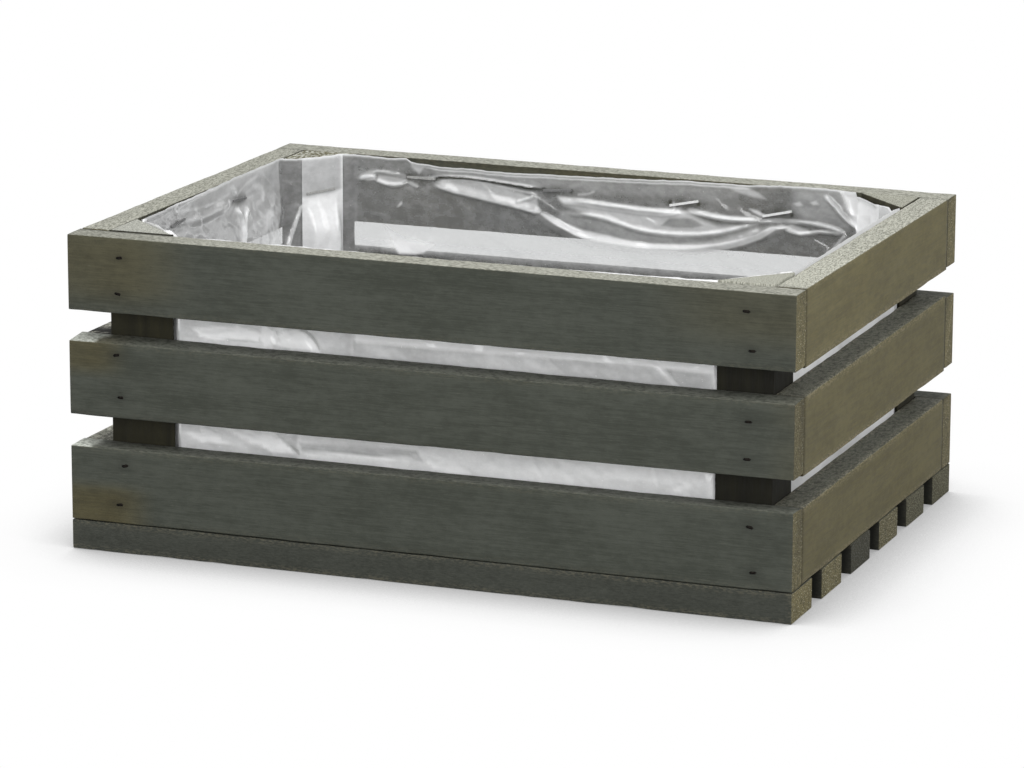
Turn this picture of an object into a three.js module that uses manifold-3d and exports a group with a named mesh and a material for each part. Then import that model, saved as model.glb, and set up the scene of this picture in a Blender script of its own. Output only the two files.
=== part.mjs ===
// Slatted wooden planter box with a clear film liner.
// Millimetres, +Z up. The origin is on the floor under the middle of the box, and the front faces -Y.

import * as THREE from 'three';
import { mergeVertices } from 'three/addons/utils/BufferGeometryUtils.js';
import Module from 'manifold-3d';

const wasm = await Module();
wasm.setup();

// The whole box
const BOX_LENGTH = 300;
const BOX_DEPTH = 217;
const SEAM = 0.3; // open joint between two pieces of wood, and between film and wood

// Wall slats, in three rows
const ROWS = ['bottom', 'middle', 'top'];
const SLAT_HEIGHT = 30;
const SLAT_THICKNESS = 12;
const SLAT_GAP = 12.7;
const SLAT_EDGE_RADIUS = 1.2;

// Bottom boards, side by side under the walls
const BOARD_COUNT = 6;
const BOARD_WIDTH = 25.7;
const BOARD_THICKNESS = 12;
const BOARD_EDGE_RADIUS = 0.8;

// Corner posts, sawn from square bar along its diagonal
const POST_LEG = 26;

// Brads: wire nails with a narrow T head, set below the face of the slat
const BRAD_BITE = 8; // how far it goes into the post
const BRAD_GAUGE = 1.2;
const BRAD_HEAD_WIDTH = 2;
const BRAD_HEAD_THICKNESS = 0.8;
const BRAD_POINT = 1.5;
const BRAD_SINK = 0.6;
const BRAD_FROM_END = 20;
const BRAD_FROM_EDGE = 7.5;
const FASTENER_FIT = 0.1; // room round a nail or a staple leg in its hole

// How far each hand-driven brad strays from its place: right, then up
const BRAD_DRIFT = {
  bottom: { left: { upper: [3.5, 1], lower: [1, 0] }, right: { upper: [3, 1.5], lower: [4.5, -1] } },
  middle: { left: { upper: [0.5, 3], lower: [2, 1] }, right: { upper: [2, -0.5], lower: [1.5, 0] } },
  top: { left: { upper: [2.5, -0.5], lower: [1.5, 0] }, right: { upper: [0.5, -1], lower: [3, -1] } },
};

// Film liner: an open tray with its corners cut by the posts
const FILM_THICKNESS = 0.3;
const FILM_FLOOR_RADIUS = 6;
const FILM_FLOOR_STEPS = 2;
const RIM_DROP = 1; // rim below the top of the box at the corners
const RIM_SAG = 2.5; // how much lower it hangs half way along a wall
const RIM_STEPS = 8; // straight steps along each wall's rim

// Staples: fine wire, through the film into the wood
const STAPLE_CROWN = 12.9;
const STAPLE_LEG = 8;
const STAPLE_WIRE_WIDTH = 0.95;
const STAPLE_WIRE_THICKNESS = 0.65;

// Staple places on each wall: share of the wall from its middle, depth below the top, tilt in degrees
const STAPLES = {
  back: [[-0.37, 8.5, 0], [-0.093, 9.5, 4], [0.16, 11, 12], [0.343, 12.5, 13]],
  front: [[-0.36, 9, -6], [-0.12, 8, 3], [0.13, 10, 0], [0.35, 9, -9]],
  left: [[-0.24, 8.5, 5], [0.19, 9.5, -4]],
  right: [[-0.2, 9, 6], [0.22, 10, -3]],
};
const CORNER_STAPLE_TILT = 6;

// Places worked out from the sizes above
const SLAT_BASE = BOARD_THICKNESS + SEAM;
const BOX_HEIGHT = SLAT_BASE + ROWS.length * SLAT_HEIGHT + (ROWS.length - 1) * SLAT_GAP;
const HALF_LENGTH = BOX_LENGTH / 2;
const HALF_DEPTH = BOX_DEPTH / 2;
const INNER_HALF_LENGTH = HALF_LENGTH - SLAT_THICKNESS;
const INNER_HALF_DEPTH = HALF_DEPTH - SLAT_THICKNESS;
const rowMiddle = (row) => SLAT_BASE + row * (SLAT_HEIGHT + SLAT_GAP) + SLAT_HEIGHT / 2;

// Colours from the photograph
const frontWood = new THREE.MeshStandardMaterial({ color: 0x484c44, roughness: 0.85, metalness: 0 });
const sideWood = new THREE.MeshStandardMaterial({ color: 0x6a644c, roughness: 0.85, metalness: 0 });
const boardWood = new THREE.MeshStandardMaterial({ color: 0x55544a, roughness: 0.9, metalness: 0 });
const postWood = new THREE.MeshStandardMaterial({ color: 0x3a342b, roughness: 0.9, metalness: 0 });
const steel = new THREE.MeshStandardMaterial({ color: 0x8c8c8a, roughness: 0.4, metalness: 1 });
const film = new THREE.MeshStandardMaterial({
  color: 0xe4e8e8, roughness: 0.15, metalness: 0, transparent: true, opacity: 0.35, side: THREE.DoubleSide,
});

// Solids for cutting
function solidFrom(geometry) {
  const bare = new THREE.BufferGeometry();
  bare.setAttribute('position', geometry.getAttribute('position'));
  bare.setIndex(geometry.getIndex());
  const merged = mergeVertices(bare, 1e-4);
  return new wasm.Manifold(new wasm.Mesh({
    numProp: 3,
    vertProperties: new Float32Array(merged.getAttribute('position').array),
    triVerts: new Uint32Array(merged.getIndex().array),
  }));
}

function geometryFrom(solid) {
  const { numProp, vertProperties, triVerts } = solid.getMesh();
  const geometry = new THREE.BufferGeometry();
  geometry.setAttribute('position', new THREE.BufferAttribute(vertProperties, numProp));
  geometry.setIndex(new THREE.BufferAttribute(triVerts, 1));
  geometry.computeVertexNormals();
  return geometry;
}

// Cuts the holes that fasteners need out of a piece that is already in its place
function drill(piece, holes) {
  piece.updateWorldMatrix(true, false);
  const toPiece = piece.matrixWorld.clone().invert();
  let solid = solidFrom(piece.geometry);
  for (const hole of holes) {
    hole.updateWorldMatrix(true, false);
    const cutter = hole.geometry.clone().applyMatrix4(hole.matrixWorld).applyMatrix4(toPiece);
    solid = solid.subtract(solidFrom(cutter));
  }
  piece.geometry = geometryFrom(solid);
}

// A planed bar along X with eased long edges
function bar(length, depth, height, radius) {
  const x = depth / 2;
  const y = height / 2;
  const section = new THREE.Shape();
  section.absarc(x - radius, y - radius, radius, 0, Math.PI / 2);
  section.absarc(-x + radius, y - radius, radius, Math.PI / 2, Math.PI);
  section.absarc(-x + radius, -y + radius, radius, Math.PI, 1.5 * Math.PI);
  section.absarc(x - radius, -y + radius, radius, 1.5 * Math.PI, 2 * Math.PI);
  const geometry = new THREE.ExtrudeGeometry(section, { depth: length, bevelEnabled: false, curveSegments: 3 });
  geometry.translate(0, 0, -length / 2);
  const alongX = new THREE.Matrix4().makeBasis(
    new THREE.Vector3(0, 1, 0),
    new THREE.Vector3(0, 0, 1),
    new THREE.Vector3(1, 0, 0),
  );
  return geometry.applyMatrix4(alongX);
}

function addMesh(parent, name, geometry, material) {
  const mesh = new THREE.Mesh(geometry, material);
  mesh.name = name;
  parent.add(mesh);
  return mesh;
}

// A group whose +Y points out of the box through one of its walls
function wallGroup(parent, turn, distance) {
  const group = new THREE.Group();
  group.rotation.z = turn;
  group.position.set(-distance * Math.sin(turn), distance * Math.cos(turn), 0);
  parent.add(group);
  return group;
}

const TURNS = { back: 0, left: Math.PI / 2, front: Math.PI, right: -Math.PI / 2 };
const planter = new THREE.Group();
const pieces = {};
const holesIn = {};

// Holes are kept in a group of their own, which is no part of the finished box
const holeGroup = new THREE.Group();

function addHole(parent, geometry, position, tilt, names) {
  const hole = new THREE.Mesh(geometry);
  hole.position.copy(position);
  hole.rotation.y = tilt;
  const frame = new THREE.Group();
  frame.position.copy(parent.position);
  frame.rotation.copy(parent.rotation);
  holeGroup.add(frame);
  frame.add(hole);
  for (const name of names) {
    holesIn[name] ??= [];
    holesIn[name].push(hole);
  }
}

// Wall slats: front and back run the full length, and the side slats stand between them
function addSlats(side, length, distance, material) {
  const group = wallGroup(planter, TURNS[side], distance - SLAT_THICKNESS / 2);
  ROWS.forEach((row, index) => {
    const name = `${side}_slat_${row}`;
    const geometry = bar(length, SLAT_THICKNESS, SLAT_HEIGHT, SLAT_EDGE_RADIUS);
    const slat = addMesh(group, name, geometry, material);
    slat.position.z = rowMiddle(index);
    pieces[name] = slat;
  });
}

// Corner posts: their square corner sits where two walls meet, their long face looks inwards
function addPosts() {
  const corners = {
    front_left: [-1, -1, 0],
    front_right: [1, -1, Math.PI / 2],
    back_right: [1, 1, Math.PI],
    back_left: [-1, 1, -Math.PI / 2],
  };
  const section = new THREE.Shape();
  section.moveTo(SEAM, SEAM);
  section.lineTo(POST_LEG - SEAM, SEAM);
  section.lineTo(SEAM, POST_LEG - SEAM);
  for (const [corner, [x, y, turn]] of Object.entries(corners)) {
    const geometry = new THREE.ExtrudeGeometry(section, { depth: BOX_HEIGHT - SLAT_BASE, bevelEnabled: false });
    const name = `corner_post_${corner}`;
    const post = addMesh(planter, name, geometry, postWood);
    post.position.set(x * INNER_HALF_LENGTH, y * INNER_HALF_DEPTH, SLAT_BASE);
    post.rotation.z = turn;
    pieces[name] = post;
  }
}

// Bottom boards: the outer two are flush with the front and back walls
function addBoards() {
  const pitch = (BOX_DEPTH - BOARD_WIDTH) / (BOARD_COUNT - 1);
  for (let i = 0; i < BOARD_COUNT; i += 1) {
    const geometry = bar(BOX_LENGTH, BOARD_WIDTH, BOARD_THICKNESS, BOARD_EDGE_RADIUS);
    const board = addMesh(planter, `bottom_board_${i + 1}`, geometry, boardWood);
    board.position.set(0, -HALF_DEPTH + BOARD_WIDTH / 2 + i * pitch, BOARD_THICKNESS / 2);
  }
}

// A brad's outline, head first, pointing along -Y into the wood from y = 0
function bradGeometry(fit, lead) {
  const head = BRAD_HEAD_WIDTH / 2 + fit;
  const shank = BRAD_GAUGE / 2 + fit;
  const neck = -BRAD_HEAD_THICKNESS - fit;
  const tip = BRAD_SINK - SLAT_THICKNESS - BRAD_BITE - fit;
  const outline = new THREE.Shape();
  outline.moveTo(-head, lead);
  outline.lineTo(-head, neck);
  outline.lineTo(-shank, neck);
  outline.lineTo(-shank, tip + BRAD_POINT);
  outline.lineTo(-shank / 2, tip);
  outline.lineTo(shank / 2, tip);
  outline.lineTo(shank, tip + BRAD_POINT);
  outline.lineTo(shank, neck);
  outline.lineTo(head, neck);
  outline.lineTo(head, lead);
  const height = BRAD_GAUGE + 2 * fit;
  const geometry = new THREE.ExtrudeGeometry(outline, { depth: height, bevelEnabled: false });
  return geometry.translate(0, 0, -height / 2);
}

// Brads through the ends of the front or back slats into the posts
function addBrads(side) {
  const group = wallGroup(planter, TURNS[side], HALF_DEPTH);
  const facing = side === 'back' ? 1 : -1; // which way the group's own +X runs along the box
  const levels = { upper: SLAT_HEIGHT / 2 - BRAD_FROM_EDGE, lower: BRAD_FROM_EDGE - SLAT_HEIGHT / 2 };
  ROWS.forEach((row, index) => {
    for (const [end, sign] of Object.entries({ left: -1, right: 1 })) {
      for (const [level, height] of Object.entries(levels)) {
        const [right, up] = BRAD_DRIFT[row][end][level];
        const x = sign * (HALF_LENGTH - BRAD_FROM_END) + right;
        const place = new THREE.Vector3(facing * x, -BRAD_SINK, rowMiddle(index) + height + up);
        const brad = addMesh(group, `brad_${side}_${row}_${end}_${level}`, bradGeometry(0, 0), steel);
        brad.position.copy(place);
        const held = [`${side}_slat_${row}`, `corner_post_${side}_${end}`];
        addHole(group, bradGeometry(FASTENER_FIT, 2 * BRAD_SINK), place, 0, held);
      }
    }
  });
}

// Plan of the film's walls at a distance inside the wood: eight corners, anticlockwise from above
function filmCorners(inset) {
  const x = INNER_HALF_LENGTH - inset;
  const y = INNER_HALF_DEPTH - inset;
  const cut = INNER_HALF_LENGTH + INNER_HALF_DEPTH - POST_LEG - inset * Math.SQRT2;
  return [
    [x, x - cut], [x, cut - x], [cut - y, y], [y - cut, y],
    [-x, cut - x], [-x, x - cut], [y - cut, -y], [cut - y, -y],
  ].map(([px, py]) => new THREE.Vector2(px, py));
}

// Points round the film at that distance, with how far along its wall each one is, from 0 to 1
function filmRing(inset) {
  const corners = filmCorners(inset);
  const ring = [];
  corners.forEach((corner, i) => {
    const next = corners[(i + 1) % corners.length];
    for (let step = 0; step < RIM_STEPS; step += 1) {
      const along = step / RIM_STEPS;
      ring.push({ point: corner.clone().lerp(next, along), along: i % 2 === 0 ? along : 0 });
    }
  });
  return ring;
}

// One skin of the film, from the edge of its floor up its walls to the rim
function filmSkin(depth) {
  const inset = SEAM + depth;
  const floor = SLAT_BASE + depth;
  const radius = FILM_FLOOR_RADIUS - depth;
  const rings = [];
  for (let step = 0; step <= FILM_FLOOR_STEPS; step += 1) {
    const angle = (step / FILM_FLOOR_STEPS) * (Math.PI / 2);
    const height = floor + radius * (1 - Math.cos(angle));
    const ring = filmRing(inset + radius * (1 - Math.sin(angle)));
    rings.push(ring.map(({ point }) => [point.x, point.y, height]));
  }
  const rim = BOX_HEIGHT - RIM_DROP;
  rings.push(filmRing(inset).map(({ point, along }) => (
    [point.x, point.y, rim - RIM_SAG * Math.sin(Math.PI * along)]
  )));
  return rings;
}

// Film liner: an outer and an inner skin that meet at the rim
function filmGeometry() {
  const outer = filmSkin(0);
  const inner = filmSkin(FILM_THICKNESS);
  const rings = [...outer, ...inner.reverse()];
  const count = rings[0].length;
  const indices = [];
  for (let level = 0; level + 1 < rings.length; level += 1) {
    for (let i = 0; i < count; i += 1) {
      const a = level * count + i;
      const b = level * count + ((i + 1) % count);
      indices.push(a, b, b + count, a, b + count, a + count);
    }
  }
  const floorOutline = rings[0].map(([x, y]) => new THREE.Vector2(x, y));
  const lastRing = (rings.length - 1) * count;
  for (const [a, b, c] of THREE.ShapeUtils.triangulateShape(floorOutline, [])) {
    indices.push(a, c, b);
    indices.push(lastRing + a, lastRing + b, lastRing + c);
  }
  const geometry = new THREE.BufferGeometry();
  geometry.setAttribute('position', new THREE.Float32BufferAttribute(rings.flat(2), 3));
  geometry.setIndex(indices);
  geometry.computeVertexNormals();
  return geometry;
}

// A staple: crown on the film, legs along +Y into the wood
function stapleGeometry() {
  const outer = STAPLE_CROWN / 2;
  const inner = outer - STAPLE_WIRE_THICKNESS;
  const outline = new THREE.Shape();
  outline.moveTo(-outer, -STAPLE_WIRE_THICKNESS);
  outline.lineTo(outer, -STAPLE_WIRE_THICKNESS);
  outline.lineTo(outer, STAPLE_LEG);
  outline.lineTo(inner, STAPLE_LEG);
  outline.lineTo(inner, 0);
  outline.lineTo(-inner, 0);
  outline.lineTo(-inner, STAPLE_LEG);
  outline.lineTo(-outer, STAPLE_LEG);
  const geometry = new THREE.ExtrudeGeometry(outline, { depth: STAPLE_WIRE_WIDTH, bevelEnabled: false });
  return geometry.translate(0, 0, -STAPLE_WIRE_WIDTH / 2);
}

function stapleLegHole(sign) {
  const width = STAPLE_WIRE_THICKNESS + 2 * FASTENER_FIT;
  const length = STAPLE_LEG + 2 * FASTENER_FIT;
  const geometry = new THREE.BoxGeometry(width, length, STAPLE_WIRE_WIDTH + 2 * FASTENER_FIT);
  return geometry.translate(sign * (STAPLE_CROWN - STAPLE_WIRE_THICKNESS) / 2, STAPLE_LEG / 2, 0);
}

// One staple on a wall or a post, seen from inside the box: along the wall, below the top, tilted
function addStaple(group, name, along, drop, tilt, wood) {
  const crownLift = SEAM + FILM_THICKNESS + FASTENER_FIT;
  const place = new THREE.Vector3(along, -crownLift, BOX_HEIGHT - drop);
  const turn = THREE.MathUtils.degToRad(-tilt);
  const staple = addMesh(group, name, stapleGeometry(), steel);
  staple.position.copy(place);
  staple.rotation.y = turn;
  for (const sign of [-1, 1]) {
    addHole(group, stapleLegHole(sign), place, turn, [wood, 'film_liner']);
  }
}

function addStaples() {
  const distances = { back: INNER_HALF_DEPTH, front: INNER_HALF_DEPTH, left: INNER_HALF_LENGTH,
    right: INNER_HALF_LENGTH };
  for (const [side, places] of Object.entries(STAPLES)) {
    const group = wallGroup(planter, TURNS[side], distances[side]);
    const wallLength = 2 * (side === 'back' || side === 'front' ? INNER_HALF_LENGTH : INNER_HALF_DEPTH);
    const freeLength = wallLength - 2 * POST_LEG;
    places.forEach(([share, drop, tilt], i) => {
      addStaple(group, `staple_${side}_${i + 1}`, share * freeLength, drop, tilt, `${side}_slat_top`);
    });
  }
  const cornerDistance = (INNER_HALF_LENGTH + INNER_HALF_DEPTH - POST_LEG) / Math.SQRT2;
  const corner = wallGroup(planter, Math.PI / 4, cornerDistance);
  const shift = (INNER_HALF_DEPTH - INNER_HALF_LENGTH) / Math.SQRT2;
  addStaple(corner, 'staple_corner_back_left', shift, SLAT_HEIGHT / 2, CORNER_STAPLE_TILT,
    'corner_post_back_left');
}

addSlats('front', BOX_LENGTH, HALF_DEPTH, frontWood);
addSlats('back', BOX_LENGTH, HALF_DEPTH, frontWood);
addSlats('left', 2 * (INNER_HALF_DEPTH - SEAM), HALF_LENGTH, sideWood);
addSlats('right', 2 * (INNER_HALF_DEPTH - SEAM), HALF_LENGTH, sideWood);
addPosts();
addBoards();
pieces.film_liner = addMesh(planter, 'film_liner', filmGeometry(), film);
addBrads('front');
addBrads('back');
addStaples();
for (const [name, holes] of Object.entries(holesIn)) {
  drill(pieces[name], holes);
}

export default planter;
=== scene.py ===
import math

import bmesh
import bpy
import numpy as np
from mathutils import Matrix, Vector, noise


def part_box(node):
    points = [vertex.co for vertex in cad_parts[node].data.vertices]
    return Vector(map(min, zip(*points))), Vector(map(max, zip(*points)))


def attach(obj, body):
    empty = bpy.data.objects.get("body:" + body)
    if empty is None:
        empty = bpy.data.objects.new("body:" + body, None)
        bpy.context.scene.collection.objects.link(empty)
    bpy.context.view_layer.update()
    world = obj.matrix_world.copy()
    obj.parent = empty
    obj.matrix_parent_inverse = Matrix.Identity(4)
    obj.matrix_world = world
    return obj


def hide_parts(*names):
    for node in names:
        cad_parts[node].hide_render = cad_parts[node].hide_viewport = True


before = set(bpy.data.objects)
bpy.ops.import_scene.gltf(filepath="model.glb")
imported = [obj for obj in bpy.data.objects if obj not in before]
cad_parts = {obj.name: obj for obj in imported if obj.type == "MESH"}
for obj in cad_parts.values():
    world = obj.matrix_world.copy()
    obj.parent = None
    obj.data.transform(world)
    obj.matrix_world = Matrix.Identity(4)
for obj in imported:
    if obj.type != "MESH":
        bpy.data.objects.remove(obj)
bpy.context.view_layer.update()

MM = 0.001

# Wood: the angle at which an edge is sharp, and how far wear reaches from an edge
SHARP_ANGLE = math.radians(38)
WEAR_WIDTH = 1.3 * MM

# Camera of the photograph, in the part's frame
CAMERA_PLACE = Vector((0.6537, -1.7134, 0.4852))
CAMERA_FORWARD = Vector((-0.34915, 0.90901, -0.22759))
CAMERA_ROLL = math.radians(0.17)
CAMERA_LENS = 163.1
CAMERA_SENSOR = 36.0

# Rows of slats and the sides that they stand on
ROWS = ("bottom", "middle", "top")
SIDES = ("front", "back", "left", "right")
POSTS = ("front_left", "front_right", "back_left", "back_right")
BOARDS = 6


# Small helpers

def link(name, data):
    piece = bpy.data.objects.new(name, data)
    bpy.context.scene.collection.objects.link(piece)
    return piece


def settle(piece, slot, *nodes):
    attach(piece, "root")
    if nodes:
        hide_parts(*nodes)
    return piece


def smooth(edge0, edge1, x):
    t = np.clip((x - edge0) / (edge1 - edge0), 0.0, 1.0)
    return t * t * (3.0 - 2.0 * t)


def bell(x, width):
    return np.exp(-(x / width) ** 2)


def darken(tone, amount):
    tone *= (1.0 - amount)[:, None]


def lighten(tone, amount):
    tone *= (1.0 + amount)[:, None]


def new_mesh(name, verts, faces):
    mesh = bpy.data.meshes.new(name)
    mesh.from_pydata([tuple(v) for v in verts], [], faces)
    mesh.update()
    return mesh


def add_values(mesh, name, domain, data):
    layer = mesh.attributes.new(name, "FLOAT", domain)
    layer.data.foreach_set("value", np.asarray(data, np.float32))


def vertex_arrays(mesh):
    """The places and the normals of a mesh's vertices."""
    return np.array([v.co for v in mesh.vertices]), np.array([v.normal for v in mesh.vertices])


def fbm(points, octaves=3):
    return np.array([noise.fractal(Vector(p), 1.0, 2.0, octaves) for p in points])


def srgb(r, g, b):
    def linear(c):
        c /= 255.0
        return c / 12.92 if c <= 0.04045 else ((c + 0.055) / 1.055) ** 2.4
    return (linear(r), linear(g), linear(b), 1.0)


# Node-building helpers

class Nodes:
    def __init__(self, name):
        self.material = bpy.data.materials.new(name)
        self.material.use_nodes = True
        self.tree = self.material.node_tree
        self.tree.nodes.clear()
        self.output = self.tree.nodes.new("ShaderNodeOutputMaterial")

    def put(self, socket, value):
        if isinstance(value, bpy.types.NodeSocket):
            self.tree.links.new(value, socket)
        else:
            socket.default_value = value

    def add(self, kind, **inputs):
        node = self.tree.nodes.new(kind)
        for key, value in inputs.items():
            self.put(node.inputs[key.replace("_", " ")], value)
        return node

    def attribute(self, name, output="Fac"):
        node = self.tree.nodes.new("ShaderNodeAttribute")
        node.attribute_name = name
        return node.outputs[output]

    def math(self, operation, a, b=0.0, clamp=False):
        node = self.tree.nodes.new("ShaderNodeMath")
        node.operation = operation
        node.use_clamp = clamp
        self.put(node.inputs[0], a)
        self.put(node.inputs[1], b)
        return node.outputs[0]

    def scaled(self, vector, scale):
        node = self.tree.nodes.new("ShaderNodeVectorMath")
        node.operation = "MULTIPLY"
        self.put(node.inputs[0], vector)
        self.put(node.inputs[1], scale)
        return node.outputs[0]

    def noise(self, vector, detail=3.0, roughness=0.55, distortion=0.0):
        node = self.add("ShaderNodeTexNoise", Vector=vector, Scale=1.0, Detail=detail, Roughness=roughness,
                        Distortion=distortion)
        return node.outputs["Fac"]

    def ramp(self, value, low, high, to_low=0.0, to_high=1.0):
        node = self.tree.nodes.new("ShaderNodeMapRange")
        node.interpolation_type = "SMOOTHSTEP"
        for key, item in (("Value", value), ("From Min", low), ("From Max", high), ("To Min", to_low),
                          ("To Max", to_high)):
            self.put(node.inputs[key], item)
        return node.outputs[0]

    def mix(self, factor, a, b, blend="MIX"):
        node = self.tree.nodes.new("ShaderNodeMix")
        node.data_type = "RGBA"
        node.blend_type = blend
        for socket, value in zip([s for s in node.inputs if s.enabled], (factor, a, b)):
            self.put(socket, value)
        return [s for s in node.outputs if s.enabled][0]

    def mix_shader(self, factor, a, b):
        node = self.tree.nodes.new("ShaderNodeMixShader")
        for socket, value in zip(node.inputs, (factor, a, b)):
            self.put(socket, value)
        return node.outputs[0]

    def finish(self, shader):
        self.put(self.output.inputs["Surface"], shader)
        return self.material


# Wood

def wood_material():
    n = Nodes("stained_wood")
    grain = n.attribute("grain", "Vector")
    fibre = n.noise(n.scaled(grain, (110.0, 2100.0, 2100.0)), 4.0, 0.62)
    streak = n.noise(n.scaled(grain, (11.0, 260.0, 260.0)), 3.0, 0.5, 0.3)
    blotch = n.noise(n.scaled(grain, (30.0, 60.0, 60.0)), 3.0, 0.55)
    fleck = n.noise(n.scaled(grain, (380.0, 3300.0, 3300.0)), 2.0, 0.5)
    speck = n.noise(n.scaled(grain, (620.0, 1900.0, 1900.0)), 3.0, 0.6)
    dirt = n.noise(n.scaled(grain, (330.0, 480.0, 480.0)), 3.0, 0.6)
    mottle = n.noise(n.scaled(grain, (210.0, 330.0, 330.0)), 4.0, 0.65)
    value = n.math("ADD", n.math("MULTIPLY", fibre, 0.42), n.math("MULTIPLY", streak, 0.14))
    value = n.math("ADD", value, n.math("MULTIPLY", blotch, 0.22))
    value = n.math("ADD", value, n.math("MULTIPLY", mottle, 0.22))
    shade = n.ramp(value, 0.38, 0.62)
    stain = n.mix(shade, srgb(51, 54, 47), srgb(69, 72, 65))
    brown = n.mix(shade, srgb(76, 71, 48), srgb(97, 91, 63))
    colour = n.mix(n.attribute("brown"), stain, brown)
    worn = n.math("MULTIPLY", n.attribute("edge"), n.ramp(speck, 0.45, 0.62), True)
    colour = n.mix(n.math("MULTIPLY", worn, 0.75), colour, srgb(132, 124, 100))
    colour = n.mix(n.ramp(fleck, 0.68, 0.78, 0.0, 0.5), colour, srgb(40, 41, 35))
    colour = n.mix(n.ramp(fleck, 0.33, 0.25, 0.0, 0.25), colour, srgb(100, 100, 90))
    sawn = n.mix(n.ramp(speck, 0.38, 0.62), srgb(116, 116, 106), srgb(180, 180, 168))
    colour = n.mix(n.attribute("sawn"), colour, sawn)
    pore = n.math("ADD", n.math("MULTIPLY", speck, 0.65), n.math("MULTIPLY", mottle, 0.35))
    pores = n.mix(n.ramp(pore, 0.38, 0.62), srgb(66, 62, 41), srgb(108, 101, 72))
    chip = n.noise(n.scaled(grain, (1500.0, 1500.0, 1500.0)), 2.0, 0.5)
    chip = n.math("ADD", chip, n.math("MULTIPLY", n.attribute("chips"), 0.16))
    pores = n.mix(n.ramp(chip, 0.72, 0.77), pores, srgb(176, 172, 152))
    colour = n.mix(n.attribute("end"), colour, pores)
    stained = n.math("MULTIPLY", n.attribute("dirt"), n.ramp(dirt, 0.5, 0.58), True)
    colour = n.mix(stained, colour, srgb(30, 30, 26))
    colour = n.mix(1.0, colour, n.attribute("tone", "Color"), "MULTIPLY")
    # Painted shade: the faces of the brad pockets are near black, for the shade in these small recesses
    colour = n.mix(n.attribute("hole_shade"), colour, srgb(14, 13, 11))
    height = n.math("ADD", n.math("MULTIPLY", fibre, 0.6), n.math("MULTIPLY", speck, 0.4))
    bump = n.add("ShaderNodeBump", Strength=0.3, Distance=0.0003, Height=height)
    rough = n.ramp(fibre, 0.3, 0.7, 0.7, 0.85)
    shader = n.add("ShaderNodeBsdfPrincipled", Base_Color=colour, Roughness=rough, Normal=bump.outputs[0])
    shader.inputs["Specular IOR Level"].default_value = 0.25
    return n.finish(shader.outputs[0])


def section_points(outline, radius, spacing):
    """Points round a convex outline with rounded corners, anticlockwise, as an array of (p, q)."""
    points = []
    count = len(outline)
    for i in range(count):
        corner = Vector(outline[i])
        following = Vector(outline[(i + 1) % count])
        before = (Vector(outline[i - 1]) - corner).normalized()
        after = (following - corner).normalized()
        half = before.angle(after) / 2.0
        reach = radius / math.tan(half)
        centre = corner + (before + after).normalized() * (radius / math.sin(half))
        start = corner + before * reach - centre
        end = corner + after * reach - centre
        for step in range(5):
            points.append(centre + start.lerp(end, step / 4.0).normalized() * radius)
        begin = corner + after * reach
        stop = following - after * reach
        steps = max(1, round((stop - begin).length / spacing))
        for step in range(1, steps):
            points.append(begin.lerp(stop, step / steps))
    return np.array([tuple(p) for p in points])


def bar_mesh(name, outline, length, radius, seed, rough=1.0, spacing=2.4 * MM, cap=0.4 * MM):
    """A bar along local X with worn long edges, square-cut ends and a little waviness."""
    ring = section_points(outline, radius, spacing)
    tangent = np.roll(ring, -1, axis=0) - np.roll(ring, 1, axis=0)
    tangent /= np.linalg.norm(tangent, axis=1)[:, None]
    inward = np.stack([-tangent[:, 1], tangent[:, 0]], axis=1)
    corners = np.array(outline)
    gap = np.linalg.norm(ring[:, None, :] - corners[None, :, :], axis=2)
    nearest = gap.argmin(axis=1)
    near_edge = bell(gap.min(axis=1), WEAR_WIDTH)
    inner = np.linspace(-length / 2 + 0.25 * MM, length / 2 - 0.25 * MM, max(2, round(length / spacing)) + 1)
    ends = [length / 2, length / 2]
    stations = np.concatenate([np.negative(ends), inner, ends])
    last = len(stations) - 1
    rows = []
    for j, u in enumerate(stations):
        edge_noise = np.array([noise.fractal(Vector((u * 60.0, seed * 7.0 + k * 3.1, 0.5)), 1.0, 2.0, 4)
                               for k in range(len(corners))])
        face_noise = np.array([noise.noise(Vector((u * 14.0, seed * 3.0 + p * 60.0, q * 60.0)))
                               for p, q in ring])
        depth = 0.25 * MM * rough * np.clip(edge_noise[nearest] + 0.1, 0.0, 1.0) * near_edge
        depth += 0.05 * MM * rough * np.clip(face_noise + 0.4, 0.0, 1.0)
        if j in (0, 1, last - 1, last):
            depth = depth + (cap if j in (0, last) else 0.12 * MM)
        rows.append(np.column_stack([np.full(len(ring), u), ring + inward * depth[:, None]]))
    count = len(ring)
    verts = np.concatenate(rows)
    faces = []
    for j in range(last):
        for k in range(count):
            a = j * count + k
            b = j * count + (k + 1) % count
            faces.append((a, b, b + count, a + count))
    faces.append(tuple(reversed(range(count))))
    faces.append(tuple(last * count + k for k in range(count)))
    return new_mesh(name, verts, faces)


def skew_bar(mesh, size, inward, top, bottom, inner_top):
    """Moves a slat's top and bottom edges up by so many mm at its two ends, as hand-cut slats differ.
    The last pair lifts the inner edge of its top beside the outer one."""
    length, depth, height = size
    for v in mesh.vertices:
        share = v.co.x / length + 0.5
        up = v.co.z / height + 0.5
        within = inward * v.co.y / depth + 0.5
        lift = inner_top[0] + (inner_top[1] - inner_top[0]) * share
        at_top = top[0] + (top[1] - top[0]) * share + lift * within
        at_bottom = bottom[0] + (bottom[1] - bottom[0]) * share
        v.co.z += (at_bottom + (at_top - at_bottom) * up) * MM
    mesh.update()


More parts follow.
